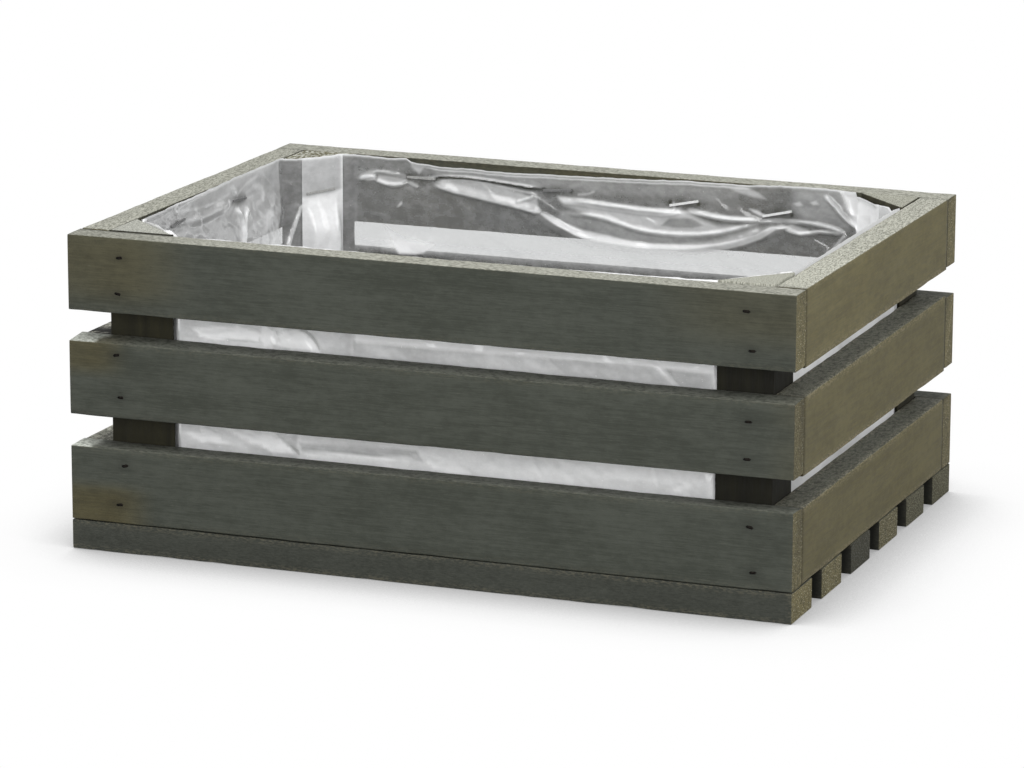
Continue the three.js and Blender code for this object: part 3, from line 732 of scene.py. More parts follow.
# Patches of the film that are whiter or clearer: wall, outline of (along, up) in mm, softness, change of
# haze. The whiter patches are partly the film's milkiness and partly painted highlights and reflections
PATCHES = (
    ("back", ((-20.5, 115.5), (-10, 114), (0, 112.5), (19.5, 112), (35, 113), (43, 110.5), (51, 108.5),
              (60, 109), (68.5, 110.5), (60, 107), (49, 104), (34, 102), (19.5, 103), (9, 105), (-1, 107.5),
              (-10.5, 110), (-18, 112)), 1.2, 0.5),
    ("back", ((26, 106.5), (29.5, 110), (39.5, 110.5), (45, 108), (39.5, 106.5), (31.5, 106)), 0.6, -0.32),
    ("back", ((-76, 118), (-66, 119), (-56, 119), (-46, 117.5), (-36, 115.5), (-30, 114), (-29, 109),
              (-39, 111), (-46.5, 112), (-60, 114), (-72, 116)), 0.8, 0.38),
    ("back", ((-100, 97.5), (-95.5, 94.5), (-89.5, 92), (-76.5, 91), (-81.5, 87), (-85, 86), (-92.5, 85.5),
              (-95.5, 90)), 0.8, 0.8),
    ("back", ((-28, 108.5), (-23, 107), (-17, 104.5), (-9, 102), (4, 100.5), (13.5, 99), (23, 98.5),
              (32.5, 99), (42, 99.5), (51.5, 101), (61, 103.5), (68, 106), (74, 109.5), (79.5, 110.5),
              (82, 110), (76.5, 108.5), (70, 104), (62.5, 101), (56, 99), (47.5, 97), (40, 96), (30.5, 96.5),
              (18.5, 97), (6, 97.5), (-9, 98.5), (-14.5, 100.5), (-20.5, 103.5), (-28, 107.5)), 0.5, 0.55),
    ("back", ((-94, 106), (-92, 108.5), (-91.5, 107.5), (-93, 106)), 0.5, 0.5),
    ("back", ((-112, 117), (-109, 119), (-104, 119.5), (-104, 117), (-108, 116.5)), 0.4, 0.7),
    ("back", ((-103, 119.5), (-95, 119), (-89.5, 118), (-92, 116), (-98, 115.5), (-103, 116.5)), 0.7, 0.3),
    ("back", ((-88.5, 126.5), (-86, 125), (-81, 124.5), (-84, 121), (-87.5, 123.5)), 0.7, 0.35),
    ("back", ((52.5, 125.5), (63.5, 125.5), (68.5, 123.5), (72, 121), (66.5, 121.5), (60, 123)), 0.7, 0.35),
    ("back", ((64.5, 116.5), (68, 116), (71.5, 114.5), (70, 113.5), (66.5, 115)), 0.5, 0.65),
    ("back", ((83.5, 120), (86.5, 121), (88, 119.5), (85.5, 119)), 0.5, 0.35),
    ("back", ((91, 121), (93.5, 122), (95, 120.5), (92.5, 120)), 0.5, 0.35),
    ("back", ((104, 128), (118, 128), (118, 106), (113, 110.5), (109, 116), (106, 122)), 1.5, 0.75),
    ("back", ((79, 109.5), (83, 109), (87.5, 107), (92.5, 108), (90, 109.5), (83, 111)), 0.6, 0.4),
    ("back", ((-86, 123), (60, 124), (60, 119), (-20, 118.5), (-86, 121.5)), 2.0, 0.1),
    ("back", ((-18, 110), (0, 107), (20, 102.5), (49, 103.5), (68, 109.5), (70, 107), (61, 102.5), (39, 97),
              (7, 96.5), (-13, 100), (-22, 104)), 1.5, 0.18),
    ("back", ((84, 127), (106, 127.5), (113, 116), (108, 110), (94, 112), (84, 116)), 3.0, 0.18),
    ("back", ((-118, 90.5), (118, 90.5), (118, 87), (-118, 87)), 2.0, 0.3),
    ("front", ((-33.5, 91), (25, 91), (56, 91.5), (86.5, 91.5), (113, 90.5), (113, 80),
               (-33.5, 80)), 1.0, -0.45),
    ("front", ((-46, 99), (-33.5, 99), (-33.5, 81), (-46, 81)), 0.5, -0.4),
    ("front", ((-112, 99), (-46, 99), (-46, 81), (-112, 81)), 0.5, -0.36),
    ("front", ((-102.5, 91), (-92, 92.5), (-83.5, 93), (-74, 90.5), (-74.5, 88), (-86, 88), (-92.5, 87),
               (-98, 88)), 0.6, 0.45),
    ("front", ((-73, 94), (-71, 94), (-68, 92), (-69, 87), (-72, 86.5), (-73.5, 89.5)), 0.5, 0.45),
    ("front", ((-63.5, 93), (-58, 93.5), (-50, 88.5), (-47.5, 86), (-61, 86), (-65.5, 87),
               (-66.5, 90.5)), 0.6, 0.45),
    ("front", ((-110, 88), (-97, 87), (-68.5, 87), (-68.5, 84), (-110, 84)), 0.7, 0.25),
    ("front", ((-112, 57), (-58, 57), (-58, 41), (-112, 41)), 1.2, -0.45),
    ("front", ((-58, 57), (113, 57), (113, 41), (-58, 41)), 2.0, -0.1),
    ("front", ((-107.5, 49), (-99.5, 48), (-91, 46.5), (-84.5, 46), (-91, 45), (-99.5, 45)), 0.6, 0.4),
    ("front", ((-89.5, 51), (-80, 51), (-70, 49.5), (-64, 47.5), (-60, 44.5), (-68.5, 43), (-73.5, 45.5),
               (-81.5, 47.5)), 0.7, 0.4),
    ("front", ((-57.5, 48.5), (-33.5, 49.5), (-7, 50), (-5.5, 46.5), (-27.5, 46), (-56, 45.5)), 0.8, -0.35),
    ("left", ((24, 112), (29.5, 109), (33.5, 112), (31.5, 100), (31.5, 90), (20, 90),
              (24.5, 100)), 1.0, 0.12),
    ("left", ((67.5, 130), (75, 130), (75, 60), (67.5, 60)), 0.5, -0.35),
    ("left", ((51.5, 109), (58, 108), (67, 103), (67, 94.5), (66.5, 98.5), (43, 99), (50.5, 103)), 1.5, 0.2),
    ("left", ((53, 125), (65, 128), (65.5, 104.5), (52.5, 111.5)), 3.0, -0.12),
    ("left", ((7, 121), (14, 121), (23, 119), (17.5, 117), (8.5, 117.5)), 1.0, -0.15),
    ("back", ((-118, 97), (-60, 97), (10, 94), (60, 95), (118, 97), (118, 90), (-118, 90)), 2.5, -0.12),
)

# Fine creases: wall, line of (along, up) in mm, half width, change of haze. The white creases are partly
# painted highlights
CREASES = (
    ("back", ((-88, 119), (-79, 119.5), (-73, 121), (-61, 121.5), (-47, 120.5), (-29, 119)), 0.45, 0.4),
    ("back", ((-76, 120), (-69.5, 120.5), (-59.5, 120.5), (-47.5, 119.5), (-36, 118.5),
              (-28.5, 118)), 0.45, -0.9),
    ("back", ((-75, 118.5), (-66, 119.5), (-56, 119.5), (-46, 118), (-36, 116.5), (-30, 116)), 0.5, 0.4),
    ("back", ((-77.5, 117), (-73, 115.5), (-66, 114), (-56, 112.5), (-46.5, 111), (-39, 110),
              (-28.5, 108)), 0.8, 0.4),
    ("back", ((-11.5, 115), (1.5, 114), (17, 113), (29.5, 113), (43, 113), (53.5, 112),
              (69.5, 112)), 0.8, 0.35),
    ("back", ((-12, 117), (-7, 117.5), (-4, 119)), 0.5, 0.3),
    ("back", ((25, 111), (32, 112.5), (31, 117)), 0.5, 0.35),
    ("left", ((22, 116), (29.5, 110), (25.5, 93)), 1.4, 0.15),
    ("left", ((35, 113.5), (30.5, 110), (27, 94)), 1.4, 0.15),
    ("left", ((-38.5, 122.5), (-23, 118), (-7.5, 117), (7, 118), (21.5, 118.5)), 0.8, 0.25),
    ("left", ((-38, 124.5), (-18, 122), (0, 121), (18, 122.5)), 0.7, 0.2),
    ("left", ((-44, 116), (-30, 114), (-14, 113.5), (4, 114.5)), 0.9, 0.15),
    ("left", ((32.5, 119.5), (43.5, 121.5), (50, 119.5), (51, 115.5), (41.5, 112.5)), 1.4, 0.22),
    ("left", ((24, 120), (34, 124), (46, 125)), 0.7, 0.2),
)

# How hazy the film is on each wall, and how much of that haze lets light through from behind. The film is one
# sheet: its haze is far higher on the front and right walls as painted light, which keeps it bright in the
# shade behind the slats
FILM_HAZE_AND_PAINTED_LIGHT = {"back": 0.19, "left": 0.6, "back_left": 0.3, "back_right": 0.95, "right": 1.0, "front": 0.97,
             "front_left": 0.9, "front_right": 0.9}
FILM_THROUGH = {"back": 0.3, "left": 0.2, "back_left": 0.3, "back_right": 0.1, "right": 0.85, "front": 0.05,
                "front_left": 0.05, "front_right": 0.05}
FILM_GLOSS = {"back": 0.6, "left": 0.8, "back_left": 0.8, "back_right": 0.6, "right": 0.15, "front": 0.4,
              "front_left": 0.4, "front_right": 0.4}
FLOOR_HAZE = 0.3
FLOOR_THROUGH = 0.4

# A pleat folded flat against each corner: where it starts and ends along the corner, in mm, how white it is
# above and below its staple, and how white its second edge is
PLEATS = {"back_left": (-8.4, 10.5, 0.54, 0.92, 0.4), "back_right": (-18.0, 0.0, 0.9, 0.95, 0.0),
          "front_left": (-11.0, 8.0, 0.6, 0.9, 0.2), "front_right": (-9.0, 10.0, 0.6, 0.9, 0.2)}

# How far the film hangs away from the walls below its staples, in mm, at the corners in the order of WALLS
HANG = (0.6, 0.6, 0.0, 0.0, 0.0, 0.0, 0.0, 0.6)
HANG_FULL = 98.0
HANG_NONE = 112.0

# The rolled edge of the film shows as a second white line under the back's rim: its depth and span, in mm
HEM_DEPTH = 1.6
HEM_SPAN = (-84.0, 68.0)

# The corner posts aren't quite the drawing's width: changes of the legs along X and along Y, in mm
POST_LEG_CHANGE = {"front_left": (2.6, 0.0), "front_right": (-2.0, 0.0), "back_left": (-1.2, 0.0),
                   "back_right": (0.0, 0.0)}


def post_corners(corner):
    """The plan of a corner post: its square corner, then the tips of its two legs along X and along Y."""
    low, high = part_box(f"corner_post_{corner}")
    size = high - low
    sign_x = -1.0 if "left" in corner else 1.0
    sign_y = -1.0 if "front" in corner else 1.0
    square = Vector((low.x if sign_x < 0 else high.x, low.y if sign_y < 0 else high.y))
    change_x, change_y = POST_LEG_CHANGE[corner]
    tip_x = square - Vector((sign_x * (size.x + change_x * MM), 0))
    tip_y = square - Vector((0, sign_y * (size.y + change_y * MM)))
    return square, tip_x, tip_y


def film_outline():
    """The eight corners of the film's plan, anticlockwise from above, in the order of WALLS."""
    tips = {corner: post_corners(corner)[1:] for corner in POSTS}
    return [
        tips["front_right"][1], tips["back_right"][1], tips["back_right"][0], tips["back_left"][0],
        tips["back_left"][1], tips["front_left"][1], tips["front_left"][0], tips["front_right"][0],
    ]


# Where the middle of a corner of the film lies: the sum of its places along X and Y, turned inward, in mm
CORNER_MIDDLE = 41.5


def wall_place(wall, xy):
    """How far along its wall a point of the plan lies, in mm, from the wall's middle on the corners."""
    x, y = xy[:, 0] / MM, xy[:, 1] / MM
    if wall in ("back", "front"):
        return x
    if wall in ("left", "right"):
        return y
    side = x if "left" in wall else -x
    deep = y if "back" in wall else -y
    return (side + deep + CORNER_MIDDLE) / math.sqrt(2.0)


def line_distance(points, line):
    """Signed distance from points to a line (above or left of it is positive), and the share along it."""
    line = np.array(line, float)
    best = np.full(len(points), 1e9)
    signed = np.zeros(len(points))
    share = np.zeros(len(points))
    steps = np.linalg.norm(np.diff(line, axis=0), axis=1)
    starts = np.concatenate([[0.0], np.cumsum(steps)])
    for i, step in enumerate(steps):
        direction = (line[i + 1] - line[i]) / step
        offset = points - line[i]
        t = np.clip(offset @ direction, 0.0, step)
        gap = offset - t[:, None] * direction
        distance = np.linalg.norm(gap, axis=1)
        cross = direction[0] * offset[:, 1] - direction[1] * offset[:, 0]
        closer = distance < best
        best[closer] = distance[closer]
        signed[closer] = np.where(cross >= 0, distance, -distance)[closer]
        share[closer] = ((starts[i] + t) / starts[-1])[closer]
    return signed, share


def smooth_line(line, rounds=2):
    """Cuts a line's corners, so that a fold drawn with few points runs in curves."""
    line = np.array(line, float)
    for _ in range(rounds):
        if len(line) < 3:
            break
        first = 0.75 * line[:-1] + 0.25 * line[1:]
        second = 0.25 * line[:-1] + 0.75 * line[1:]
        inner = np.stack([first, second], axis=1).reshape(-1, 2)
        line = np.concatenate([line[:1], inner[1:-1], line[-1:]])
    return line


def staple_places():
    """Each staple's wall, place along it and height, in mm, from its CAD box."""
    found = []
    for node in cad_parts:
        if node.startswith("staple_"):
            low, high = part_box(node)
            middle = (low + high) / 2
            wall = "back_left" if "corner" in node else node.split("_")[1]
            place = wall_place(wall, np.array([[middle.x, middle.y]]))[0]
            found.append((wall, place, middle.z / MM))
    return found


def hanging_folds(pins):
    """Soft folds that hang from each staple on the parts of the walls that the photograph doesn't show."""
    rng = np.random.default_rng(7)
    folds = []
    for wall, place, height in pins:
        for _ in range(2):
            swing = rng.uniform(-22, 22)
            bottom = rng.uniform(24, 60)
            start = 84.0 if wall in ("back", "left", "back_left") else height - 6.0
            middle = (place + 0.5 * swing, (start + bottom) / 2)
            line = ((place + 0.15 * swing, start), middle, (place + swing, bottom))
            outside = wall in ("front", "right")
            width = rng.uniform(5.0, 8.0) if outside else rng.uniform(1.6, 3.2)
            tall = rng.uniform(0.3, 0.6) if outside else rng.uniform(0.8, 1.8)
            folds.append((wall, line, width, width, tall, 0.04))
    return folds


def polygon_cover(points, polygon, soft):
    """1 well inside a polygon and 0 well outside it, with an edge so many mm soft."""
    corners = np.array(polygon, float)
    closed = np.concatenate([corners, corners[:1]])
    distance = np.abs(line_distance(points, closed)[0])
    x, y = points[:, 0], points[:, 1]
    within = np.zeros(len(points), bool)
    for (x0, y0), (x1, y1) in zip(closed[:-1], closed[1:]):
        crossed = (y0 > y) != (y1 > y)
        rise = y1 - y0 if y1 != y0 else 1.0
        within ^= crossed & (x < x0 + (y - y0) / rise * (x1 - x0))
    return smooth(-soft, soft, np.where(within, distance, -distance))


def wall_relief(wall, place, height, rim, pins, folds):
    """How far the film stands off its wall, in mm, and how hazy it is, at places along and up the wall."""
    points = np.column_stack([place, height])
    key = np.full(len(place), WALLS.index(wall) * 5.0)
    depth = rim - height
    sway = fbm(np.column_stack([place * 0.018, height * 0.03, key]), 3)
    slanted = np.column_stack([place * 0.05 + height * 0.04, height * 0.06, key + 40.0])
    creases = 1.0 - np.abs(fbm(slanted, 3)) * 3.0
    relief = 0.5 + np.clip(sway + 0.35, 0, 1.2) * 2.2 * smooth(4, 34, depth)
    relief += 0.3 * np.clip(creases, 0, 1) * smooth(1, 8, depth)
    # Painted light: each wall's haze, far higher where the film lies in the shade behind the slats
    haze_and_highlight = FILM_HAZE_AND_PAINTED_LIGHT[wall] * (1.0 + 0.25 * sway) + 0.03 * np.clip(creases, 0, 1)
    # The haze added along folds, in whiter patches and creases and in the wrinkles round the staples is
    # partly the film's milkiness and partly painted highlight
    for fold_wall, line, above, below, tall, white in folds:
        if fold_wall != wall:
            continue
        signed, share = line_distance(points, smooth_line(line))
        width = np.where(signed > 0, above, below)
        body = np.clip(1.0 - np.abs(signed) / width, 0.0, 1.0)
        body *= smooth(-0.02, 0.12, share) * smooth(1.02, 0.88, share)
        relief += tall * body
        haze_and_highlight += white * smooth(0.05, 0.5, body)
    for patch_wall, polygon, soft, change in PATCHES:
        if patch_wall == wall:
            haze_and_highlight += change * polygon_cover(points, polygon, soft)
    for crease_wall, line, half, change in CREASES:
        if crease_wall == wall:
            signed, share = line_distance(points, smooth_line(line))
            ends = smooth(-0.02, 0.06, share) * smooth(1.02, 0.94, share)
            haze_and_highlight += change * bell(signed, half) * ends
    for pin_wall, pin_place, pin_height in pins:
        if pin_wall == wall:
            across, up = place - pin_place, height - pin_height
            reach = np.hypot(across / 9.0, up / 3.5)
            turn = np.arctan2(up, across * 0.6)
            star = np.cos(5.0 * turn + pin_place) + np.cos(8.0 * turn + 1.7 * pin_place)
            star = 0.5 * np.clip(star, 0, 2) * bell(reach - 1.4, 0.6)
            pulled = 0.25 if wall == "left" else 0.1
            relief = 0.35 + (relief - 0.35) * smooth(0.75, 1.8, reach) + pulled * star
            clear = 0.4 if wall == "left" else 0.1
            haze_and_highlight += 0.6 * pulled * star - clear * smooth(1.15, 0.0, reach)
            haze_and_highlight -= 0.3 * np.exp(-((np.abs(across) - 6.3) / 0.7) ** 2 - (up / 0.8) ** 2)
    line, width = RIM_LINE.get(wall, (0.85, 0.75))
    haze_and_highlight += line * bell(depth, width) + 0.1 * smooth(7.0, 0.0, depth)
    if wall == "back":
        hem = smooth(HEM_SPAN[0], HEM_SPAN[0] + 8.0, place) * smooth(HEM_SPAN[1], HEM_SPAN[1] - 8.0, place)
        haze_and_highlight += 0.65 * hem * bell(depth - HEM_DEPTH, 0.45)
    relief += RIM_LEAN[wall] * bell(depth, 1.4)
    if wall == "front":
        relief *= 0.15 + 0.85 * smooth(-109.0, -96.0, place)
    relief = np.clip(relief, 0.3, 9.0)
    if wall in PLEATS:
        start, end = PLEATS[wall][:2]
        covered = smooth(start - 3.0, start - 0.5, place) * smooth(end + 3.0, end + 0.5, place)
        relief += (0.35 - relief) * covered
    return relief, np.clip(haze_and_highlight, 0.02, 1.0)


# Spacing of the film's mesh, in mm: fine on the walls that the photograph shows from inside
FINE_STEP = 0.6
COARSE_STEP = 1.0


def inset_corners(corners, distance):
    """The corners of the film's plan, moved inward from its walls."""
    moved = []
    for i, corner in enumerate(corners):
        before = (corners[i - 1] - corner).normalized()
        after = (corners[(i + 1) % len(corners)] - corner).normalized()
        moved.append(corner + (before + after).normalized() * (distance / math.sin(before.angle(after) / 2)))
    return moved


def ring_points(corners, inset=0.0):
    """Plan points round the film with the wall and the inward direction of each; the corners are rounded."""
    points, walls = [], []
    moved = inset_corners(corners, inset)
    for i, corner in enumerate(moved):
        following = moved[(i + 1) % len(moved)]
        step = COARSE_STEP if "front" in WALLS[i] or WALLS[i] == "right" else FINE_STEP
        count = max(4, round((corners[(i + 1) % len(corners)] - corners[i]).length / (step * MM)))
        for k in range(count):
            points.append(corner.lerp(following, k / count))
            walls.append(i)
    ring = np.array([tuple(p) for p in points])

    def near(wall, width):
        away = np.arange(len(ring)) - walls.index(WALLS.index(wall))
        return bell(away, width)[:, None]

    # The film is tight round the posts at the front's ends, and bridges the back right corner in a curve
    rounds = [(6, 1.0 - 0.9 * near("front", 6.0) - 0.9 * near("front_right", 6.0)), (60, near("back", 14.0))]
    for count, share in rounds:
        for _ in range(count):
            soft = (np.roll(ring, 1, axis=0) + 2 * ring + np.roll(ring, -1, axis=0)) / 4
            ring = ring + (soft - ring) * share
    tangent = np.roll(ring, -2, axis=0) - np.roll(ring, 2, axis=0)
    tangent /= np.linalg.norm(tangent, axis=1)[:, None]
    inward = np.stack([-tangent[:, 1], tangent[:, 0]], axis=1)
    return ring, inward, np.array(walls)


def grid_faces(rows, columns, start=0, closed=True):
    faces = []
    for j in range(rows - 1):
        for k in range(columns if closed else columns - 1):
            a = start + j * columns + k
            b = start + j * columns + (k + 1) % columns
            faces.append((a, b, b + columns, a + columns))
    return faces


# Columns of points across a pleat, and where it is pinned if no staple holds it, in mm
PLEAT_COLUMNS = 24
PLEAT_PIN_HEIGHT = 108.0


def pleat_rows(wall, ring, inward, mine, rim, pins):
    """A pleat of film folded flat on a corner: rows of points with the haze of each."""
    start, end, white, white_below, edge_line = PLEATS[wall]
    place = wall_place(wall, ring[mine])
    order = np.argsort(place)
    across = np.linspace(start, end, PLEAT_COLUMNS)

    def spread(values):
        return np.interp(across, place[order], values[mine][order])

    xy = np.column_stack([spread(ring[:, axis]) for axis in (0, 1)])
    normal = np.column_stack([spread(inward[:, axis]) for axis in (0, 1)])
    normal /= np.linalg.norm(normal, axis=1)[:, None]
    top = spread(rim) - 0.2
    share = (across - start) / (end - start)
    pin = [p for p in pins if p[0] == wall]
    pin_height = pin[0][2] if pin else PLEAT_PIN_HEIGHT
    rows, hazes = [], []
    depths = np.concatenate([[0.0, 0.4, 0.9], np.arange(1.6, 104.0, 1.6)])
    for depth in depths:
        z = top - depth
        edges = smooth(0.0, 0.25, share) * smooth(1.0, 0.8, share)
        below = smooth(pin_height - 1.5, pin_height - 20.0, z)
        cone = 5.0 * below * edges * smooth(104, 70, np.full(PLEAT_COLUMNS, depth))
        waves = fbm(np.column_stack([across * 0.12, z * 0.05, np.full(PLEAT_COLUMNS, 3.0)]), 3)
        ripple = 0.7 * waves * smooth(2, 14, depth)
        stand = 0.75 + 0.5 * edges + cone + ripple * edges
        stand = np.maximum(stand, 0.45)
        if pin:
            reach = np.hypot((across - pin[0][1]) / 9.0, (z - pin[0][2]) / 3.0)
            stand = 0.75 + (stand - 0.75) * (1.0 - edges * smooth(1.5, 0.7, reach))
        rows.append(np.column_stack([xy + normal * (stand * MM)[:, None], z * MM]))
        lines = edge_line * bell(share - 1.0, 0.05)
        rim_line = 0.3 * bell(depth, 0.7)
        fade = 1.0 - 0.6 * smooth(60.0, 100.0, depth)
        hem = pin_height + 0.12 * across
        under = white + (white_below - white) * smooth(hem - 0.3, hem - 1.6, z)
        hazes.append(np.clip((under + lines + rim_line) * fade, 0.05, 1.0))
    return rows, hazes


# The film's foot: the radius of its bend, and the rows of points in the bend and on the floor
FOOT_RADIUS = 7.0 * MM
FOOT_ROWS = 6
FLOOR_ROWS = 26


def make_film(material):
    low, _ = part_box("film_liner")
    ring, inward, walls = ring_points(film_outline())
    count = len(ring)
    place, rim, through, gloss = (np.zeros(count) for _ in range(4))
    masks = [walls == i for i in range(len(WALLS))]
    for wall, mine in zip(WALLS, masks):
        place[mine] = wall_place(wall, ring[mine])
        rim[mine] = np.interp(place[mine], *zip(*RIM[wall]))
        through[mine] = FILM_THROUGH[wall]
        gloss[mine] = FILM_GLOSS[wall]
    rim += 0.25 * fbm(np.column_stack([ring * 160.0, np.zeros(count)]), 3)
    pins = staple_places()
    folds = list(FOLDS) + hanging_folds(pins)
    floor = low.z + 0.2 * MM
    radius = FOOT_RADIUS
    deepest = 127.0 - (floor + radius) / MM
    depths = np.concatenate([np.arange(0.0, 3.0, 0.4), np.arange(3.2, 34.0, 0.5), np.arange(34.0, 46.0, 0.9),
                             np.linspace(46.4, deepest, 48)])
    shares = (depths / deepest)[:, None]
    height = rim[None, :] * (1 - shares) + (floor + radius) / MM * shares
    relief, haze_and_highlight = np.zeros_like(height), np.zeros_like(height)
    for wall, mine in zip(WALLS, masks):
        shape = (len(depths), int(mine.sum()))
        along = np.broadcast_to(place[mine], shape).ravel()
        top = np.broadcast_to(rim[mine], shape).ravel()
        stand, cloud = wall_relief(wall, along, height[:, mine].ravel(), top, pins, folds)
        relief[:, mine], haze_and_highlight[:, mine] = stand.reshape(shape), cloud.reshape(shape)
    starts = np.flatnonzero(np.diff(walls, prepend=-1))
    hang = np.interp(np.arange(count), [*starts, count], [*HANG, HANG[0]])
    relief += hang[None, :] * smooth(HANG_NONE, HANG_FULL, height)
    settled = smooth(0.85, 1.0, shares)
    relief = relief * (1 - settled) + 1.5 * settled
    # Even out the joins between the walls
    near = bell(np.min([np.abs(np.arange(count) - j) for j in starts], axis=0), 5.0)
    for layer in (relief, haze_and_highlight):
        soft = layer.copy()
        for _ in range(6):
            soft = (np.roll(soft, 1, axis=1) + 2 * soft + np.roll(soft, -1, axis=1)) / 4
        layer += (soft - layer) * near
    shell = []
    for stand, z in zip(relief, height):
        shell.append(np.column_stack([ring + inward * (stand * MM)[:, None], z * MM]))
    hazes = list(haze_and_highlight)
    throughs, glosses = [through] * len(shell), [gloss] * len(shell)
    for j in range(1, FOOT_ROWS + 1):
        turn = j / FOOT_ROWS * math.pi / 2
        inset = 1.5 * MM + radius * (1 - math.cos(turn))
        foot = ring_points(film_outline(), inset)[0]
        shell.append(np.column_stack([foot, np.full(count, floor + radius * (1 - math.sin(turn)))]))
        hazes.append(haze_and_highlight[-1] + (FLOOR_HAZE - haze_and_highlight[-1]) * j / FOOT_ROWS)
        throughs.append(through)
        glosses.append(gloss)
    base = shell[-1][:, :2]
    for j in range(1, FLOOR_ROWS):
        flat = base * (1 - j / FLOOR_ROWS)
        wave = np.clip(fbm(np.column_stack([flat * 18.0, np.full(count, 4.0)]), 3) + 0.1, 0, 1) * 2.5 * MM
        shell.append(np.column_stack([flat, floor + wave * smooth(0.0, 4.0, float(j))]))
        hazes.append(np.full(count, FLOOR_HAZE))
        throughs.append(np.full(count, FLOOR_THROUGH))
        glosses.append(np.ones(count))
    faces = grid_faces(len(shell), count)
    verts = np.concatenate([*shell, [[0, 0, floor]]])
    cloud = np.concatenate([*hazes, [FLOOR_HAZE]])
    passing = np.concatenate([*throughs, [FLOOR_THROUGH]])
    shine = np.concatenate([*glosses, [1.0]])
    last = (len(shell) - 1) * count
    for k in range(count):
        faces.append((last + k, last + (k + 1) % count, len(verts) - 1))
    for wall in PLEATS:
        rows, whites = pleat_rows(wall, ring, inward, masks[WALLS.index(wall)], rim, pins)
        faces += [tuple(reversed(f)) for f in grid_faces(len(rows), len(rows[0]), len(verts), False)]
        verts = np.concatenate([verts, *rows])
        cloud = np.concatenate([cloud, *whites])
        passing = np.concatenate([passing, np.full(len(rows) * len(rows[0]), 0.2)])
        shine = np.concatenate([shine, np.full(len(rows) * len(rows[0]), 0.4)])
    mesh = new_mesh("film_liner_sheet", verts, faces)
    for name, data in (("haze_and_highlight", cloud), ("through", passing), ("gloss", shine)):
        add_values(mesh, name, "POINT", data)
    mesh.shade_smooth()
    mesh.materials.append(material)
    piece = link("film_liner_sheet", mesh)
    settle(piece, "clear_film", "film_liner")
    return piece


def steel_material(name, light, dark, metallic):
    n = Nodes(name)
    place = n.add("ShaderNodeTexCoord").outputs["Object"]
    speck = n.noise(n.scaled(place, (3000.0, 3000.0, 3000.0)), 2.0)
    colour = n.mix(n.ramp(speck, 0.4, 0.65), light, dark)
    rough = n.ramp(speck, 0.3, 0.7, 0.25, 0.45)
    shader = n.add("ShaderNodeBsdfPrincipled", Base_Color=colour, Roughness=rough)
    shader.inputs["Metallic"].default_value = metallic
    return n.finish(shader.outputs[0])


# How round the wire of a staple is, and the staples that lie in the shade of the film's folds, which get dim
# or grey copies of the steel as painted shade
STAPLE_ROUNDING = 0.18 * MM
DIM_SHADED_STAPLES = ("staple_left_1", "staple_left_2", "staple_back_2")
GREY_SHADED_STAPLES = ("staple_corner_back_left", "staple_back_1")


# Stage, light and camera

def seen_rays(tree):
    """1 for the rays that show the background itself, 0 for the rays that only carry its light."""
    path = tree.nodes.new("ShaderNodeLightPath")
    seen = path.outputs["Is Camera Ray"]
    for name in ("Is Glossy Ray", "Is Transmission Ray"):
        add = tree.nodes.new("ShaderNodeMath")
        add.operation = "ADD"
        add.use_clamp = True
        tree.links.new(seen, add.inputs[0])
        tree.links.new(path.outputs[name], add.inputs[1])
        seen = add.outputs[0]
    return seen


# The floor's size, and its level just below the boards
FLOOR_SIZE = 16.0
FLOOR_LEVEL = -0.1 * MM


def make_stage():
    corners = rectangle(FLOOR_SIZE, FLOOR_SIZE)
    mesh = new_mesh("floor", [(x, y, FLOOR_LEVEL) for x, y in corners], [(0, 1, 2, 3)])
    floor = link("floor", mesh)
    n = Nodes("floor")
    # Painted shadow: the white that the floor shows is darkened by ambient occlusion near the object, while
    # the light it passes on comes from a plain grey
    near = n.add("ShaderNodeAmbientOcclusion", Distance=0.06)
    near.samples = 8
    shadow = n.ramp(near.outputs["AO"], 0.3, 0.95, 0.35, 1.0)
    white = n.add("ShaderNodeEmission", Strength=shadow)
    lit = n.add("ShaderNodeBsdfDiffuse", Color=(0.42, 0.42, 0.42, 1.0))
    mesh.materials.append(n.finish(n.mix_shader(seen_rays(n.tree), lit.outputs[0], white.outputs[0])))


def make_world():
    world = bpy.data.worlds.new("studio")
    bpy.context.scene.world = world
    world.use_nodes = True
    tree = world.node_tree
    tree.nodes.clear()
    output = tree.nodes.new("ShaderNodeOutputWorld")
    background = tree.nodes.new("ShaderNodeBackground")
    background.inputs["Color"].default_value = (1.0, 1.0, 1.0, 1.0)
    strength = tree.nodes.new("ShaderNodeMapRange")
    tree.links.new(seen_rays(tree), strength.inputs["Value"])
    strength.inputs["To Min"].default_value = 0.5
    strength.inputs["To Max"].default_value = 1.0
    tree.links.new(strength.outputs[0], background.inputs["Strength"])
    tree.links.new(background.outputs[0], output.inputs["Surface"])


def make_light(name, place, target, size, power):
    lamp = bpy.data.lights.new(name, "AREA")
    lamp.shape = "RECTANGLE"
    lamp.size, lamp.size_y = size
    lamp.energy = power
    obj = link(name, lamp)
    obj.location = place
    obj.rotation_euler = (Vector(target) - Vector(place)).to_track_quat("-Z", "Y").to_euler()


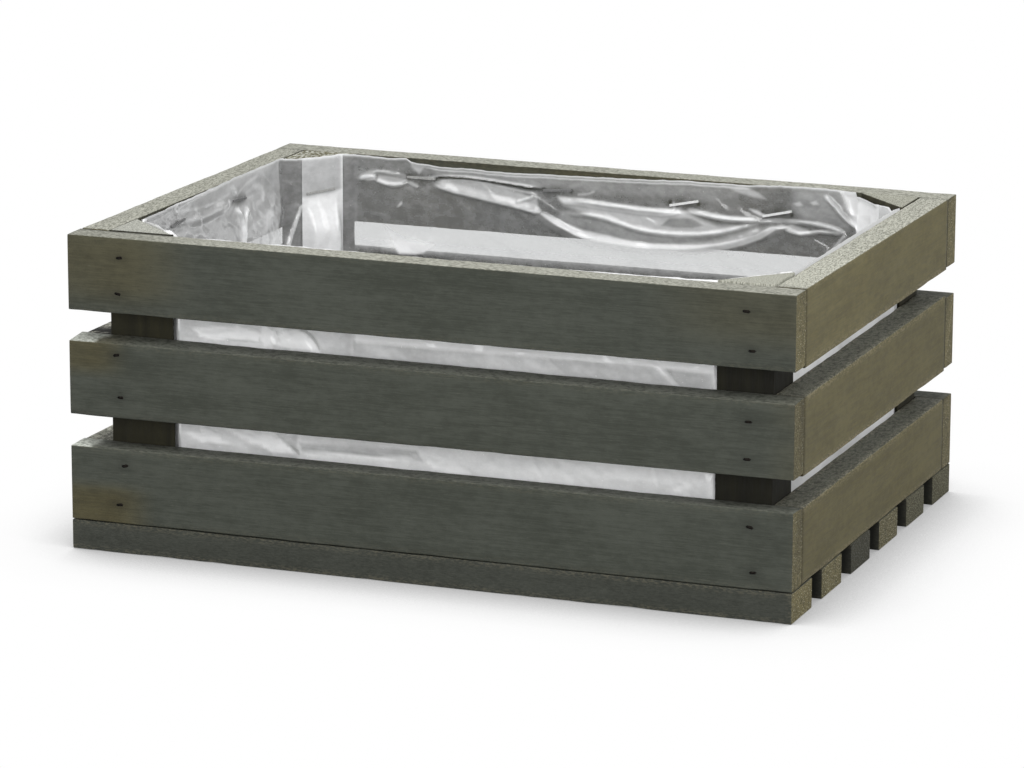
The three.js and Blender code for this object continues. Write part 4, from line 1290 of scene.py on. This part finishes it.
def make_camera():
    camera = bpy.data.cameras.new("camera")
    camera.sensor_fit = "HORIZONTAL"
    camera.sensor_width = CAMERA_SENSOR
    camera.lens = CAMERA_LENS
    camera.clip_end = 50.0
    obj = link("camera", camera)
    turn = CAMERA_FORWARD.to_track_quat("-Z", "Y") @ Matrix.Rotation(CAMERA_ROLL, 3, "Z").to_quaternion()
    obj.rotation_euler = turn.to_euler()
    obj.location = CAMERA_PLACE
    bpy.context.scene.camera = obj


def main():
    bpy.context.scene.view_settings.view_transform = "Standard"
    make_camera()
    make_world()
    make_stage()
    make_light("key", (0.95, 0.1, 0.62), (0, 0, 0.06), (0.6, 0.6), 4.5)
    make_light("softbox", (-0.15, -0.6, 1.3), (0, 0, 0.08), (1.3, 0.65), 10.0)
    make_light("fill", (0.25, -1.75, 0.62), (0, 0, 0.06), (1.2, 0.9), 17.0)
    wood = wood_material()
    seed = 1.0
    for side in SIDES:
        for row in ROWS:
            make_slat(side, row, wood, seed)
            seed += 1.0
    for index in range(1, BOARDS + 1):
        make_board(index, wood, seed)
        seed += 1.0
    for corner in POSTS:
        make_post(corner, wood, seed)
        seed += 1.0
    make_film(film_material())
    bright = steel_material("steel_wire", srgb(246, 246, 246), srgb(216, 216, 214), 0.3)
    # Painted shade: dim and grey copies of the steel for the staples in the film's folds
    dim_shaded = steel_material("steel_wire_dim", srgb(150, 150, 150), srgb(110, 110, 110), 0.6)
    grey_shaded = steel_material("steel_wire_grey", srgb(172, 172, 170), srgb(120, 120, 118), 0.0)
    dull = steel_material("brad_steel", srgb(40, 37, 34), srgb(24, 22, 20), 1.0)
    for name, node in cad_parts.items():
        if name.startswith(("brad_", "staple_")):
            node.data.materials.clear()
            steel = dull if name.startswith("brad_") else bright
            steel = dim_shaded if name in DIM_SHADED_STAPLES else steel
            node.data.materials.append(grey_shaded if name in GREY_SHADED_STAPLES else steel)
        if name.startswith("staple_"):
            rounding = node.modifiers.new("rounding", "BEVEL")
            rounding.width = STAPLE_ROUNDING
            rounding.segments = 2


main()
